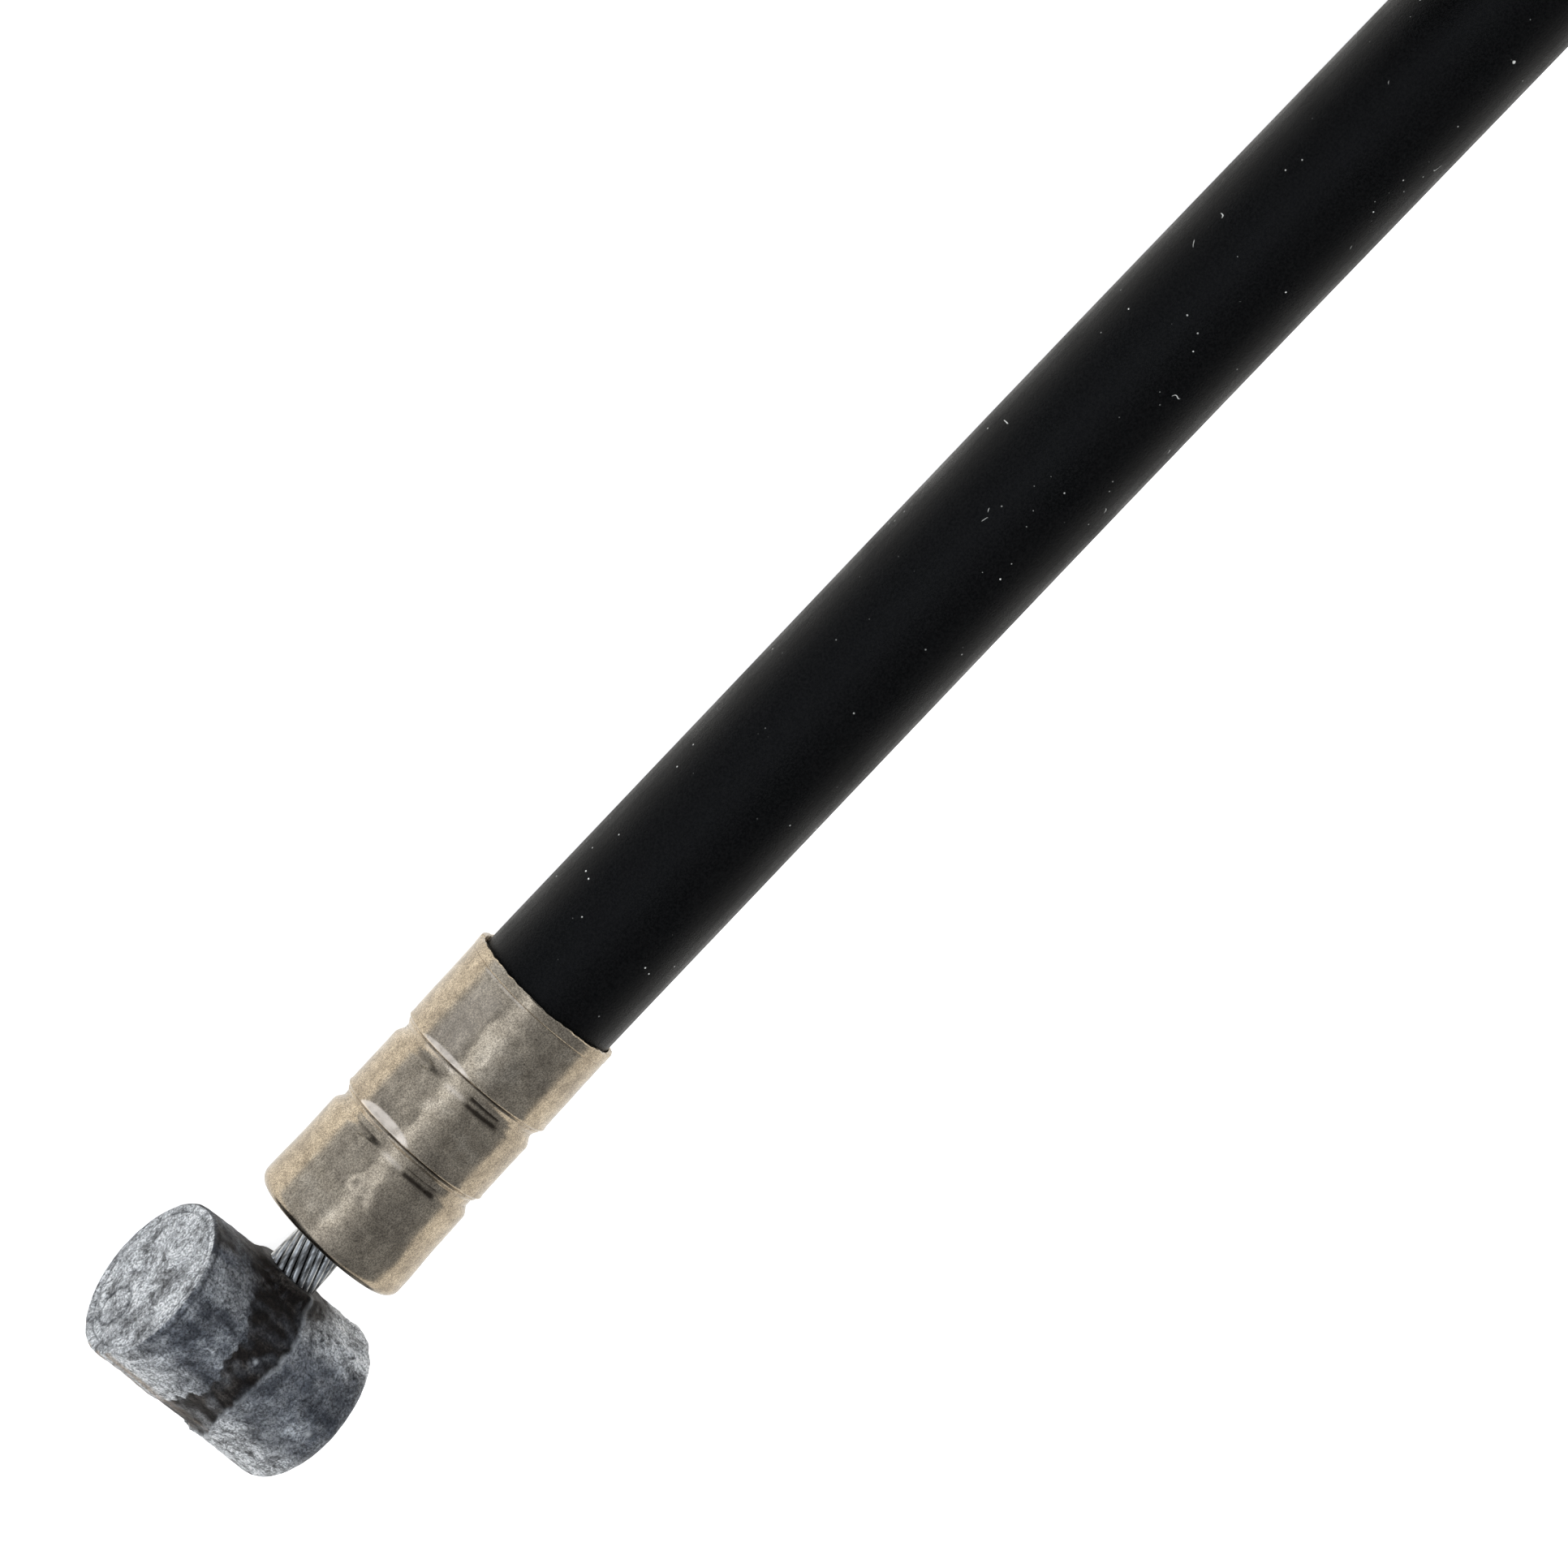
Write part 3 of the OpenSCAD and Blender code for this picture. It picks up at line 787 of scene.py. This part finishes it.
def nipple_outline():
    """(y, radius) from the middle of the gate face, over the barrel, to the far face's middle."""
    gate_edge, far_edge = 0.12, 0.7
    face = [(GATE_FACE_Y, 0.1 * i) for i in range(1, 39)]
    barrel = arc(GATE_FACE_Y - gate_edge, SKIN_R - gate_edge, gate_edge, 0, 90, 4)
    barrel += arc(FAR_FACE_Y + far_edge, SKIN_R - far_edge, far_edge, 90, 180, 10)
    back = [(FAR_FACE_Y, SKIN_R - far_edge - 0.15 * i) for i in range(1, 21)]
    return face + dense(barrel, NIPPLE_STEP) + back


class SkinPoint:
    """A place on a nipple, with how far it lies in each zone of the casting from 0 to 1."""

    def __init__(self, y, r, angle, seed):
        self.y, self.r, self.seed = y, r, seed
        self.deg = math.degrees(angle) - (0 if angle < math.pi * 1.25 else 360)
        self.out_x, self.out_z = math.cos(angle), math.sin(angle)
        self.x, self.z = r * self.out_x, r * self.out_z
        self.on_gate = 1.0 if y > GATE_FACE_Y - 0.001 else 0.0
        self.side = 0.0 if self.on_gate or y < FAR_FACE_Y + 0.001 else 1.0
        self.grainy, self.fine = self.grain(1.6, 8), self.grain(4, 9)

        self.from_ridge = y - ridge_y(self.deg, seed)
        self.near = smooth(self.from_ridge / 0.1)
        self.far = (1 - self.near) * self.side
        self.band = self.near * smooth((scorch_edge_y(self.deg, seed) - y) / 0.16) * self.side
        self.facing = 1.0 if self.x > 0 else 0.0
        self.boss_gap = math.hypot(y, self.z) - BOSS_R
        self.rough_spot = (1 - self.near) * rises(self.deg, *ROUGH_DEG) * rises(self.deg, *ROUGH_LOW_DEG)
        # Painted light on the side from 100 degrees on
        self.lit_side = rises(self.deg, *LIT_SIDE_DEG) * self.side
        self.upper = self.near * span(self.deg, *UPPER_DEG, 7) * rises(y, *UPPER_Y) * self.side

        uneven = 0.55 + 0.45 * field(self.out_x * 8, self.out_z * 8, 0, seed + 7)
        self.flash = bump(self.from_ridge, FLASH_HALF) * self.side * uneven
        mark = math.hypot(self.x - GATE_MARK.x, self.z - GATE_MARK.y)
        self.rim_line = bump(r - GATE_RIM_R, 0.07) * self.on_gate
        self.disc_line = bump(mark - GATE_MARK_R - 0.15 * self.fine, 0.12) * self.on_gate

    def grain(self, scale, seed):
        return field(self.x * scale, self.y * scale, self.z * scale, self.seed + seed)

    def place(self):
        """The place with its lumps and grit, flash line, sunken band, gate disc and boss."""
        lumps = 0.05 * self.grain(0.5, 5)
        grit = 0.03 * self.grain(2.2, 6) * (1 + 2.2 * self.rough_spot) + 0.012 * self.grain(6, 13)
        raised = FLASH_PROUD * self.flash - SCORCH_DEPTH * self.band + 0.04 * self.far
        r = self.r + self.side * (lumps + grit + raised)
        y = self.y
        if not self.side:
            sunk = 0.05 * (self.disc_line + self.rim_line)
            y += (lumps + 1.4 * grit - sunk) * (1 if self.on_gate else -1)
        x = r * self.out_x
        at_boss = self.facing * (1 - smooth(self.boss_gap / 0.5))
        if at_boss > 0:
            x = max(x, (NIPPLE_R + BOSS_PROUD) * at_boss + x * (1 - at_boss))
        return x, y, r * self.out_z

    def scorch_and_shade(self):
        """The scorched band beside the flash line, and painted shade round the wire, along the crease
        past the flash line and on the side towards +X.
        """
        painted_shade = self.facing * bump(max(self.boss_gap, 0), 1.0 + 1.1 * smooth(self.y + 0.5))
        crease = 0.8 * bump(self.from_ridge - 0.13, 0.08) * self.side
        shaded_side = self.near * self.side * rises(self.deg, *SHADED_SIDE_DEG) * rises(self.y, *SHADED_SIDE_Y)
        return max(self.band * (0.9 + 0.5 * self.grainy), painted_shade * (1.15 + 0.5 * self.fine), crease,
                   0.62 * shaded_side * (1.0 + 0.9 * self.grainy))

    def bright(self):
        """Painted highlight along the flash line, and small bright flecks."""
        fleck = sum(bump(math.hypot((self.deg - deg) * MM_PER_DEG, self.y - y), width)
                    for deg, y, width in FLECKS)
        return 0.7 * self.flash * (0.7 + self.fine) + 0.9 * fleck * self.side

    def pale(self):
        """Pale skin on the gate face and the rough spot, and painted light on the side past 100 degrees.
        """
        return (0.1 * self.far + 0.85 * self.rough_spot + self.on_gate + 0.95 * self.lit_side
                + 0.4 * self.upper + 0.3 * self.grainy)

    def brown(self):
        """Brown streaks drawn along the side past 140 degrees."""
        drawn = field(self.out_x * 10, self.out_z * 10, self.y * 0.12, self.seed + 10)
        streak = rises(self.deg, *BROWN_DEG) * smooth(0.15 + 1.9 * drawn)
        return 0.8 * streak * self.side * self.near

    def shade(self):
        """Dark creases and the dull gaps between the patches of pale skin."""
        seam = bump(self.y - SEAM_Y, 0.1) * rises(self.deg, *SEAM_DEG) * self.side
        across_groove = (self.deg - GROOVE_DEG) * MM_PER_DEG - 0.1 * self.fine
        groove = bump(across_groove, 0.16) * rises(self.y, *GROOVE_Y) * self.side
        patch = smooth(self.grain(0.6, 12) * 6 + 1.2 + self.fine)
        gaps = (1 - patch) * self.side * (1 - self.lit_side) * (1 - self.rough_spot) * (1 - self.upper)
        cloud = field(self.x * 0.5, self.z * 0.5, 0, self.seed + 14)
        highlights_and_dark_patches = self.on_gate * smooth(1.3 * cloud + 0.3 - self.x * 0.12)
        return max(0.75 * seam, 0.75 * groove, 0.45 * gaps, 0.45 * highlights_and_dark_patches, 0.75 * self.disc_line,
                   0.55 * self.rim_line)


SKIN_MASKS = {
    "scorch_and_shade": SkinPoint.scorch_and_shade, "bright": SkinPoint.bright, "pale": SkinPoint.pale,
    "brown": SkinPoint.brown, "shade": SkinPoint.shade,
}


def make_nipple(name, centre, seed):
    """A die cast barrel across the end of the wire, which leaves it towards +X."""
    def skin_point(y, radius, angle):
        return SkinPoint(y, radius, angle, seed)

    outline = nipple_outline()
    skin = lathe(outline, NIPPLE_SIDES, skin_point)
    verts = [[c + p for c, p in zip(centre, point.place())] for point in skin]
    faces = capped_faces(len(outline), NIPPLE_SIDES)
    piece = mesh_object(name, verts, faces, zinc_material(f"cast_zinc_{name}"), 50)
    for mask, strength in SKIN_MASKS.items():
        paint(piece, mask, [clamp(strength(point)) for point in skin])
    return piece


def make_lever_nipple():
    piece = make_nipple("nipple_lever", LEVER_NIPPLE, 0)
    return place_piece(piece, "lever_end", "cast_zinc", "lever_nipple")


def make_brake_nipple():
    piece = make_nipple("nipple_brake", BRAKE_NIPPLE, 40)
    return place_piece(piece, "brake_end", "cast_zinc", "brake_nipple")


make_lever_nipple()
brake_nipple = make_brake_nipple()

# ---- the inner wire rope
STRAND_R = 0.17
LAY_LENGTH = 18.5
ROPE_LAYERS = (
    # name, wires, radius of their middles, direction of lay, first angle
    ("inner", 6, 0.36, -1, 0.3), ("middle", 12, 0.715, -1, 0.1), ("outer", 18, 1.07, 1, 0.0),
)
STRAND_STEP = 0.55
STRAND_SIDES = 12
FLARE = 0.07


def rope_layer(x0, x1, y0, z0, wires, radius, lay, first, flare_x, seed):
    """Wires of one layer, wound round an axis along X from x0 to x1."""
    rng = random.Random(seed)
    parts, dirt_and_lay_shade = [], []
    steps = math.ceil((x1 - x0) / STRAND_STEP)
    for w in range(wires):
        loose = rng.uniform(-0.03, 0.03)
        slack = rng.uniform(0.0, 0.05) if rng.random() < 0.4 else 0.0
        points = []
        for i in range(steps + 1):
            x = x0 + (x1 - x0) * i / steps
            turn = first + TURN * w / wires + loose + lay * TURN * x / LAY_LENGTH
            near_flare = bump(x - flare_x, 1.3)
            r = radius * (1 + FLARE * near_flare) + slack * near_flare * (radius > 1)
            points.append(Vector((x, y0 + r * math.sin(turn), z0 + r * math.cos(turn))))
        verts, faces = swept_wire(points, STRAND_R, STRAND_SIDES)
        parts.append((verts, faces))
        # Painted shade in the lays: dark where a wire's surface turns in towards the rope's axis, clear
        # where it faces out, made patchy
        for i, v in enumerate(verts):
            middle = points[i // STRAND_SIDES].yz - Vector((y0, z0))
            out = Vector((0, v.y - y0, v.z - z0)).length - middle.length
            patchy = 0.25 * field(v.x * 2, v.y * 2, v.z * 2, seed)
            dirt_and_lay_shade.append(1 - smooth((out / STRAND_R + 0.25 + patchy) / 0.75))
    return joined(parts), dirt_and_lay_shade


def make_rope(end, y, z, x0, x1, flare_x, seed):
    """The four nested parts of the inner wire at one end of the cable."""
    core_points = [Vector((x0 + (x1 - x0) * i / 60, y, z)) for i in range(61)]
    verts, faces = swept_wire(core_points, STRAND_R - 0.01, STRAND_SIDES)
    core = mesh_object(f"rope_core_{end}", verts, faces, OILY)
    place_piece(core, f"{end}_core", "wire_steel", f"{end}_wire_core")
    made = [core]
    for i, (name, wires, radius, lay, first) in enumerate(ROPE_LAYERS):
        (verts, faces), dirt_and_lay_shade = rope_layer(
            x0, x1, y, z, wires, radius, lay, first, flare_x, seed + i)
        strand = mesh_object(
            f"rope_{name}_{end}", verts, faces, STRAND if name == "outer" else OILY)
        paint(strand, "dirt_and_lay_shade", dirt_and_lay_shade)
        place_piece(strand, f"{end}_end", "wire_steel", f"{end}_wire_{name}_strands")
        made.append(strand)
    return made


rope_low, rope_high = box_mm("lever_wire_outer_strands")
make_rope("lever", 0, 0, rope_low.x, rope_high.x, LEVER_NIPPLE.x + NIPPLE_R, 11)
rope_low, rope_high = box_mm("brake_wire_outer_strands")
brake_rope = make_rope(
    "brake", BRAKE_Y, BRAKE_Z, rope_low.x, rope_high.x, BRAKE_NIPPLE.x + NIPPLE_R, 31)

# ---- adjuster at the brake end
THREAD_PITCH = 1.25
THREAD_R = 3.95
THREAD_DEPTH = 0.62
BODY_THREAD_START = 34.0
BEAD_END = BODY_LOW.x + 2
NECK_R, BEAD_R, WIRE_BORE = 3.3, 3.8, 2.0
SLEEVE_START = 58.0
SLEEVE_STEP = 62.0
SLEEVE_R = 5.0
SLEEVE_BORE = 3.63
ADJUSTER_SIDES = 72
ADJUSTER_CRIMPS = (62.5, 66.0, 69.5)


def adjuster_radius(x, r, angle):
    """The body's radius with its rolled thread and its crimps."""
    if BODY_THREAD_START < x < SLEEVE_START and r > THREAD_R - 0.05:
        phase = (x / THREAD_PITCH - angle / TURN) % 1.0
        tooth = abs(2 * phase - 1)
        cut = THREAD_DEPTH * (1 - smooth((tooth - 0.12) / 0.7))
        fade = smooth((x - BODY_THREAD_START) / 1.2) * smooth((SLEEVE_START - x) / 0.8)
        r -= cut * fade + 0.35 * (1 - smooth((x - BODY_THREAD_START) / 0.8))
    for at in ADJUSTER_CRIMPS:
        flats = 0.5 + 0.5 * math.cos(6 * angle)
        if r > THREAD_R + 0.5:
            r -= 0.32 * bump(x - at, 0.55) * (0.45 + 0.55 * flats)
    return r + (0.02 * field(x * 0.6, math.cos(angle) * 2, math.sin(angle) * 2, 21) if r > 4.2 else 0)


def make_adjuster_body():
    """The crimp sleeve, the threaded shank, the neck and the bead in one turned piece."""
    def worked_place(x, radius, angle):
        return about_brake_axis(x, adjuster_radius(x, radius, angle), angle)

    start, end = BODY_LOW.x, BODY_HIGH.x
    outside = dense(
        [(start, WIRE_BORE)]
        + arc(start + 0.6, BEAD_R - 0.6, 0.6, 180, 90, 4)
        + [(BEAD_END - 0.4, BEAD_R), (BEAD_END, NECK_R), (BODY_THREAD_START, NECK_R)]
        + [(BODY_THREAD_START + 0.1, THREAD_R), (SLEEVE_START - 0.1, THREAD_R)]
        + [(SLEEVE_START, THREAD_R + 0.1), (SLEEVE_START, SLEEVE_R - 0.4)]
        + [(SLEEVE_START + 0.4, SLEEVE_R), (end - 0.35, SLEEVE_R), (end, SLEEVE_R - 0.35)]
        + [(end, SLEEVE_BORE + 0.15)],
        0.16,
    )
    inside = [(end - 0.15, SLEEVE_BORE), (SLEEVE_STEP, SLEEVE_BORE), (SLEEVE_STEP, WIRE_BORE)]
    verts = lathe(outside, ADJUSTER_SIDES, worked_place)
    verts += lathe(inside, ADJUSTER_SIDES, about_brake_axis)
    faces = ring_faces(len(outside) + len(inside), ADJUSTER_SIDES)
    piece = mesh_object("adjuster_sleeve", verts, faces, BODY_PLATE, 45)
    return place_piece(piece, "housing", "adjuster_zinc_plate", "adjuster_body")


NUT_ACROSS_FLATS = 12.0
NUT_SIDES = 96
NUT_BORE = 4.02
NUT_CORNER_R = 6.82
CHAMFER_R = 5.75
CHAMFER_SLOPE = math.tan(math.radians(30))


def make_nut(name, node, body):
    """A hexagon nut with both faces chamfered and its thread's mouth sunk."""
    low, high = box_mm(node)
    start, end = low.x, high.x
    half_flat = NUT_ACROSS_FLATS / 2
    verts = []
    rings = (
        (start + 0.45, "bore"), (start, "sink"), (start, "face"), (start, "side"), (start, "wall"),
        (end, "wall"), (end, "side"), (end, "face"), (end, "sink"), (end - 0.45, "bore"),
    )
    for x, kind in rings:
        inward = 1 if x < (start + end) / 2 else -1
        for k in range(NUT_SIDES):
            a = TURN * k / NUT_SIDES
            off_flat = math.remainder(a - math.pi / 2, TURN / 6)
            corner = min(half_flat / math.cos(off_flat), NUT_CORNER_R)
            xx = x
            if kind == "bore":
                r = NUT_BORE
            elif kind == "sink":
                r = NUT_BORE + 0.4
            elif kind == "face":
                r = CHAMFER_R
            else:
                r = corner
                fall = (corner - CHAMFER_R) * CHAMFER_SLOPE
                xx = x + inward * (fall + (0.09 if kind == "wall" else 0.0))
                r -= 0.05 if kind == "side" else 0.0
            verts.append(about_brake_axis(xx, r, a))
    faces = ring_faces(len(rings), NUT_SIDES)
    piece = mesh_object(name, verts, faces, NUT_PLATE, 28)
    return place_piece(piece, body, "nut_plate", node)


WASHER_SIDES = 288
WASHER_TEETH = 24
# The teeth: the radius they start at, their share of the rim, the gaps' depth and the teeth's lean
TOOTH_START_R, TOOTH_SHARE, TOOTH_GAP, TOOTH_LEAN = 6.1, 0.72, 0.55, 0.12


def make_washer(name, node, body):
    """A flat washer with small teeth raised on both faces of its rim."""
    low, high = box_mm(node)
    start, end = low.x, high.x
    rings = [
        (start + 0.1, 4.15), (start, 4.25), (start, 5.9), (start + 0.06, 6.2), (start + 0.06, 6.7),
        (start + 0.2, 6.98), (end - 0.2, 6.98), (end - 0.06, 6.7), (end - 0.06, 6.2), (end, 5.9),
        (end, 4.25), (end - 0.1, 4.15),
    ]
    verts = []
    for x, r in rings:
        for k in range(WASHER_SIDES):
            a = TURN * k / WASHER_SIDES
            tooth = (k * WASHER_TEETH / WASHER_SIDES) % 1.0
            at_rim = r > TOOTH_START_R
            rr = r - TOOTH_GAP * (tooth > TOOTH_SHARE) * at_rim
            lean = TOOTH_LEAN * (tooth - TOOTH_SHARE / 2) * at_rim
            verts.append(about_brake_axis(x + lean, rr, a))
    faces = ring_faces(len(rings), WASHER_SIDES)
    piece = mesh_object(name, verts, faces, WASHER_STEEL, 30)
    return place_piece(piece, body, "washer_steel", node)


BOOT_SIDES = 96


def make_dust_boot():
    """A rubber bellows from its collar on the adjuster to the lip round the wire."""
    start, end = BOOT_LOW.x, BOOT_HIGH.x
    outer_r = (BOOT_HIGH.y - BOOT_LOW.y) / 2
    lip_length, collar, wall, folds = 3.0, 7.0, 0.9, 5
    lip_r, root_r = 2.3, 3.5
    fold_start, fold_end = start + lip_length, end - collar
    outside = [(start, 1.5), (start, lip_r - 0.25), (start + 0.25, lip_r)]
    outside += [(fold_start - 0.5, lip_r), (fold_start, lip_r + 0.5)]
    steps = folds * 14
    for i in range(1, steps):
        t = i / steps
        wave = (0.5 - 0.5 * math.cos(TURN * folds * t)) ** 0.8
        top = lip_r + 1.9 + (outer_r - lip_r - 1.9) * smooth(t * 1.6)
        bottom = lip_r + 0.5 + (root_r + 0.4 - lip_r - 0.5) * smooth(t * 1.6)
        outside.append((fold_start + (fold_end - fold_start) * t, bottom + (top - bottom) * wave))
    outside += [(fold_end, root_r + 0.5), (fold_end + 0.3, outer_r - 1.0)]
    outside += arc(fold_end + 0.9, outer_r - 0.7, 0.6, 180, 90, 5)
    outside += [(end - 3.4, outer_r - 0.1), (end - 3.1, outer_r - 0.35), (end - 2.8, outer_r - 0.1)]
    outside += arc(end - 0.5, outer_r - 0.6, 0.5, 90, 0, 5)
    inside = [(end, root_r + 0.25), (end - 0.2, root_r)]
    inside += [(fold_end, root_r)]
    inside += [(x, max(1.5, r - wall)) for x, r in reversed(outside[5:4 + steps])]
    inside += [(start + 0.4, 1.35)]
    outline = outside + inside
    verts = lathe(outline, BOOT_SIDES, about_brake_axis)
    faces = ring_faces(len(outline), BOOT_SIDES)
    piece = mesh_object("boot_bellows", verts, faces, rubber_material(), 45)
    return place_piece(piece, "housing", "boot_rubber", "dust_boot")


adjuster = make_adjuster_body()
nut_inner = make_nut("nut_inner_hex", "adjuster_nut_inner", "nut_inner")
nut_outer = make_nut("nut_outer_hex", "adjuster_nut_outer", "nut_outer")
washer_inner = make_washer("washer_inner_toothed", "lock_washer_inner", "washer_inner")
washer_outer = make_washer("washer_outer_toothed", "lock_washer_outer", "washer_outer")
boot = make_dust_boot()

# ---- cable ties round the coil
TIE_HALF_WIDTH = 2.4
TIE_THICK = 0.6
TIE_TEETH_PITCH = 0.9
TIE_STEPS = 48


def housing_passes(angle_deg):
    """(radius, height) of each pass of the housing where the coil crosses an angle."""
    passes = []
    turned = angle_deg
    while turned < COIL_END_DEG:
        if turned > COIL_START_DEG:
            passes.append(coil_place(turned))
        turned += 360
    return passes


def tight_loop(passes):
    """The line round a bundle of housings, as ((radius, height), outward direction)."""
    loop = []
    for i in range(TIE_STEPS):
        t = TURN * i / TIE_STEPS
        normal = Vector((math.cos(t), math.sin(t)))
        far = max(Vector(p).dot(normal) for p in passes)
        touched = [Vector(p) for p in passes if Vector(p).dot(normal) > far - 0.001]
        middle = sum(touched, Vector((0, 0))) / len(touched)
        loop.append((middle + normal * HOUSING_D / 2, normal))
    filled = []
    for i, (p, n) in enumerate(loop):
        q, m = loop[(i + 1) % TIE_STEPS]
        count = max(1, round((q - p).length / TIE_TEETH_PITCH * 2))
        filled += [(p.lerp(q, j / count), n.lerp(m, j / count).normalized()) for j in range(count)]
    return filled


def make_tie(name, node, angle_deg):
    """A notched nylon strap pulled tight round the coil's turns, with its head and trimmed end."""
    a = math.radians(angle_deg)
    out = Vector((math.cos(a), math.sin(a), 0))
    along = Vector((-math.sin(a), math.cos(a), 0))
    up = Vector((0, 0, 1))
    passes = housing_passes(angle_deg)
    section = ((-1, 0), (-1, 0.8), (-0.86, 1), (-0.62, 1), (-0.56, 0.75), (0.56, 0.75), (0.62, 1),
               (0.86, 1), (1, 0.8), (1, 0))
    verts = []
    loop = tight_loop(passes)
    for i, (p, n) in enumerate(loop):
        notch = 0.72 if i % 2 else 1.0
        for across, height in section:
            lift = height * TIE_THICK * (notch if abs(across) < 0.6 else 1.0)
            q = p + n * lift
            verts.append(COIL_CENTRE + out * q.x + up * q.y + along * across * TIE_HALF_WIDTH)
    faces = ring_faces(len(loop), len(section))
    top_r, top_z = max(passes, key=lambda p: (round(p[1], 3), p[0]))
    crown = COIL_CENTRE + out * top_r + up * (top_z + HOUSING_D / 2)
    head = rounded_block(crown - out * 0.4 + up * 1.4, out * 2.9, along * 3.3, up * 1.7, 0.5)
    buckle = rounded_block(crown - out * 0.4 + up * 2.9, out * 1.7, along * 2.4, up * 0.35, 0.15)
    end = rounded_block(crown + out * 3.2 + up * 1.0, out * 1.3, along * 2.2, up * 0.35, 0.2)
    verts, faces = joined([(verts, faces), head, buckle, end])
    piece = mesh_object(name, verts, faces, TIE, 35)
    return place_piece(piece, "housing", "tie_nylon", node)


def rounded_block(centre, half_a, half_b, half_c, edge):
    """A block with three half axes whose edges are cut back."""
    cut = [1 - edge / v.length for v in (half_a, half_b, half_c)]
    verts = []
    rings = ((-1, cut[0], cut[1]), (-cut[2], 1, 1), (cut[2], 1, 1), (1, cut[0], cut[1]))
    plan = ((1, 0.6), (0.8, 1), (-0.8, 1), (-1, 0.6), (-1, -0.6), (-0.8, -1), (0.8, -1), (1, -0.6))
    for c, a, b in rings:
        for pa, pb in plan:
            verts.append(centre + half_a * pa * a + half_b * pb * b + half_c * c)
    return verts, capped_faces(len(rings), len(plan))


tie_near = make_tie("tie_strap_near", "coil_tie_near", -20)
tie_far = make_tie("tie_strap_far", "coil_tie_far", 150)


# ---- CAD nodes that stay
def finish_node(node, material):
    """Gives a CAD node its finish in place."""
    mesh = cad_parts[node].data
    mesh.materials.clear()
    mesh.materials.append(material)


finish_node("housing_armour", armour_material())
LINER = liner_material()
finish_node("housing_liner", LINER)
finish_node("adjuster_liner", LINER)


# ---- floor and light
FLOOR_HALF = 1.5
FLOOR_GLOW = 0.75


def make_floor():
    """A plain white surface under the cable."""
    corners = ((-1, -1), (1, -1), (1, 1), (-1, 1))
    mesh = bpy.data.meshes.new("floor")
    mesh.from_pydata([(x * FLOOR_HALF, y * FLOOR_HALF, FLOOR_Z * MM) for x, y in corners], [],
                     [(0, 1, 2, 3)])
    m = Shader("floor_white")
    m.set(Base_Color=(0.95, 0.95, 0.95, 1), Roughness=0.9, Specular_IOR_Level=0.0,
          Emission_Color=(1, 1, 1, 1), Emission_Strength=FLOOR_GLOW)
    mesh.materials.append(m.material)
    floor = added("floor", mesh)
    floor.visible_glossy = False


# Room brightness from the viewer's side, by how far a direction leans across the cable, where 0 is
# one side, 0.5 is straight at the viewer and 1 is the other side
ROOM_ACROSS = (
    (0.0, 0.62), (0.2, 0.58), (0.29, 0.38), (0.36, 1.0), (0.45, 1.05), (0.53, 0.56), (0.66, 0.37),
    (0.76, 0.24), (1.0, 0.27),
)
ROOM_TINT = (0.93, 1.0, 1.12)
# The white table behind: its brightness at the two sides, its tint, and where it begins
TABLE_ACROSS = ((0.0, 1.1), (1.0, 0.9))
TABLE_TINT = (1.0, 0.985, 0.955)
TABLE_EDGE = (-0.165, -0.025)
TABLE_SKEW = 0.07


def make_room():
    """A studio room: a soft strip among grey walls on the viewer's side, white behind the cable."""
    world = bpy.data.worlds.new("room")
    bpy.context.scene.world = world
    world.use_nodes = True
    nodes = Nodes(world.node_tree)
    place = nodes.node("ShaderNodeTexCoord").outputs["Generated"]

    def lean(direction, low, high, kind):
        """How far a direction leans this way, from 0 at low to 1 at high."""
        dot = nodes.node("ShaderNodeVectorMath", operation="DOT_PRODUCT")
        dot.inputs[1].default_value = direction
        nodes.link(place, dot.inputs[0])
        made = nodes.node("ShaderNodeMapRange", interpolation_type=kind)
        made.inputs["From Min"].default_value, made.inputs["From Max"].default_value = low, high
        nodes.link(dot.outputs["Value"], made.inputs["Value"])
        return made.outputs["Result"]

    def tinted(stops, tint):
        """Brightness by how far a direction leans across the cable."""
        return nodes.ramp(sideways, [(at, [level * share for share in tint]) for at, level in stops])

    across = Vector((1, 0, 0)).cross(VIEW_BACK).normalized()
    sideways = lean(across, -1, 1, "LINEAR")
    behind = lean(VIEW_BACK + across * TABLE_SKEW, *TABLE_EDGE, "SMOOTHSTEP")
    light = nodes.mix(behind, tinted(TABLE_ACROSS, TABLE_TINT), tinted(ROOM_ACROSS, ROOM_TINT))
    nodes.link(light, nodes.tree.nodes["Background"].inputs["Color"])


LAMP_TARGET = Vector((10, 0, 0))
LAMP_DISTANCE, LAMP_SIZE, LAMP_POWER = 1.4, 0.8, 14.0


def make_lamp():
    """A soft square lamp above the viewer, which doesn't show in the metal."""
    data = bpy.data.lights.new("overhead", "AREA")
    data.shape = "RECTANGLE"
    data.size, data.size_y, data.energy = LAMP_SIZE, LAMP_SIZE, LAMP_POWER
    lamp = added("overhead", data)
    back = (VIEW_BACK + Vector((0, 0, 0.6))).normalized()
    lamp.location = LAMP_TARGET * MM + back * LAMP_DISTANCE
    side = Vector((1, 0, 0))
    side = (side - back * side.dot(back)).normalized()
    lamp.rotation_mode = "QUATERNION"
    lamp.rotation_quaternion = turned_to(side, back.cross(side), back)
    lamp.visible_glossy = False


make_floor()
make_room()
make_lamp()
bpy.context.scene.view_settings.view_transform = "Standard"
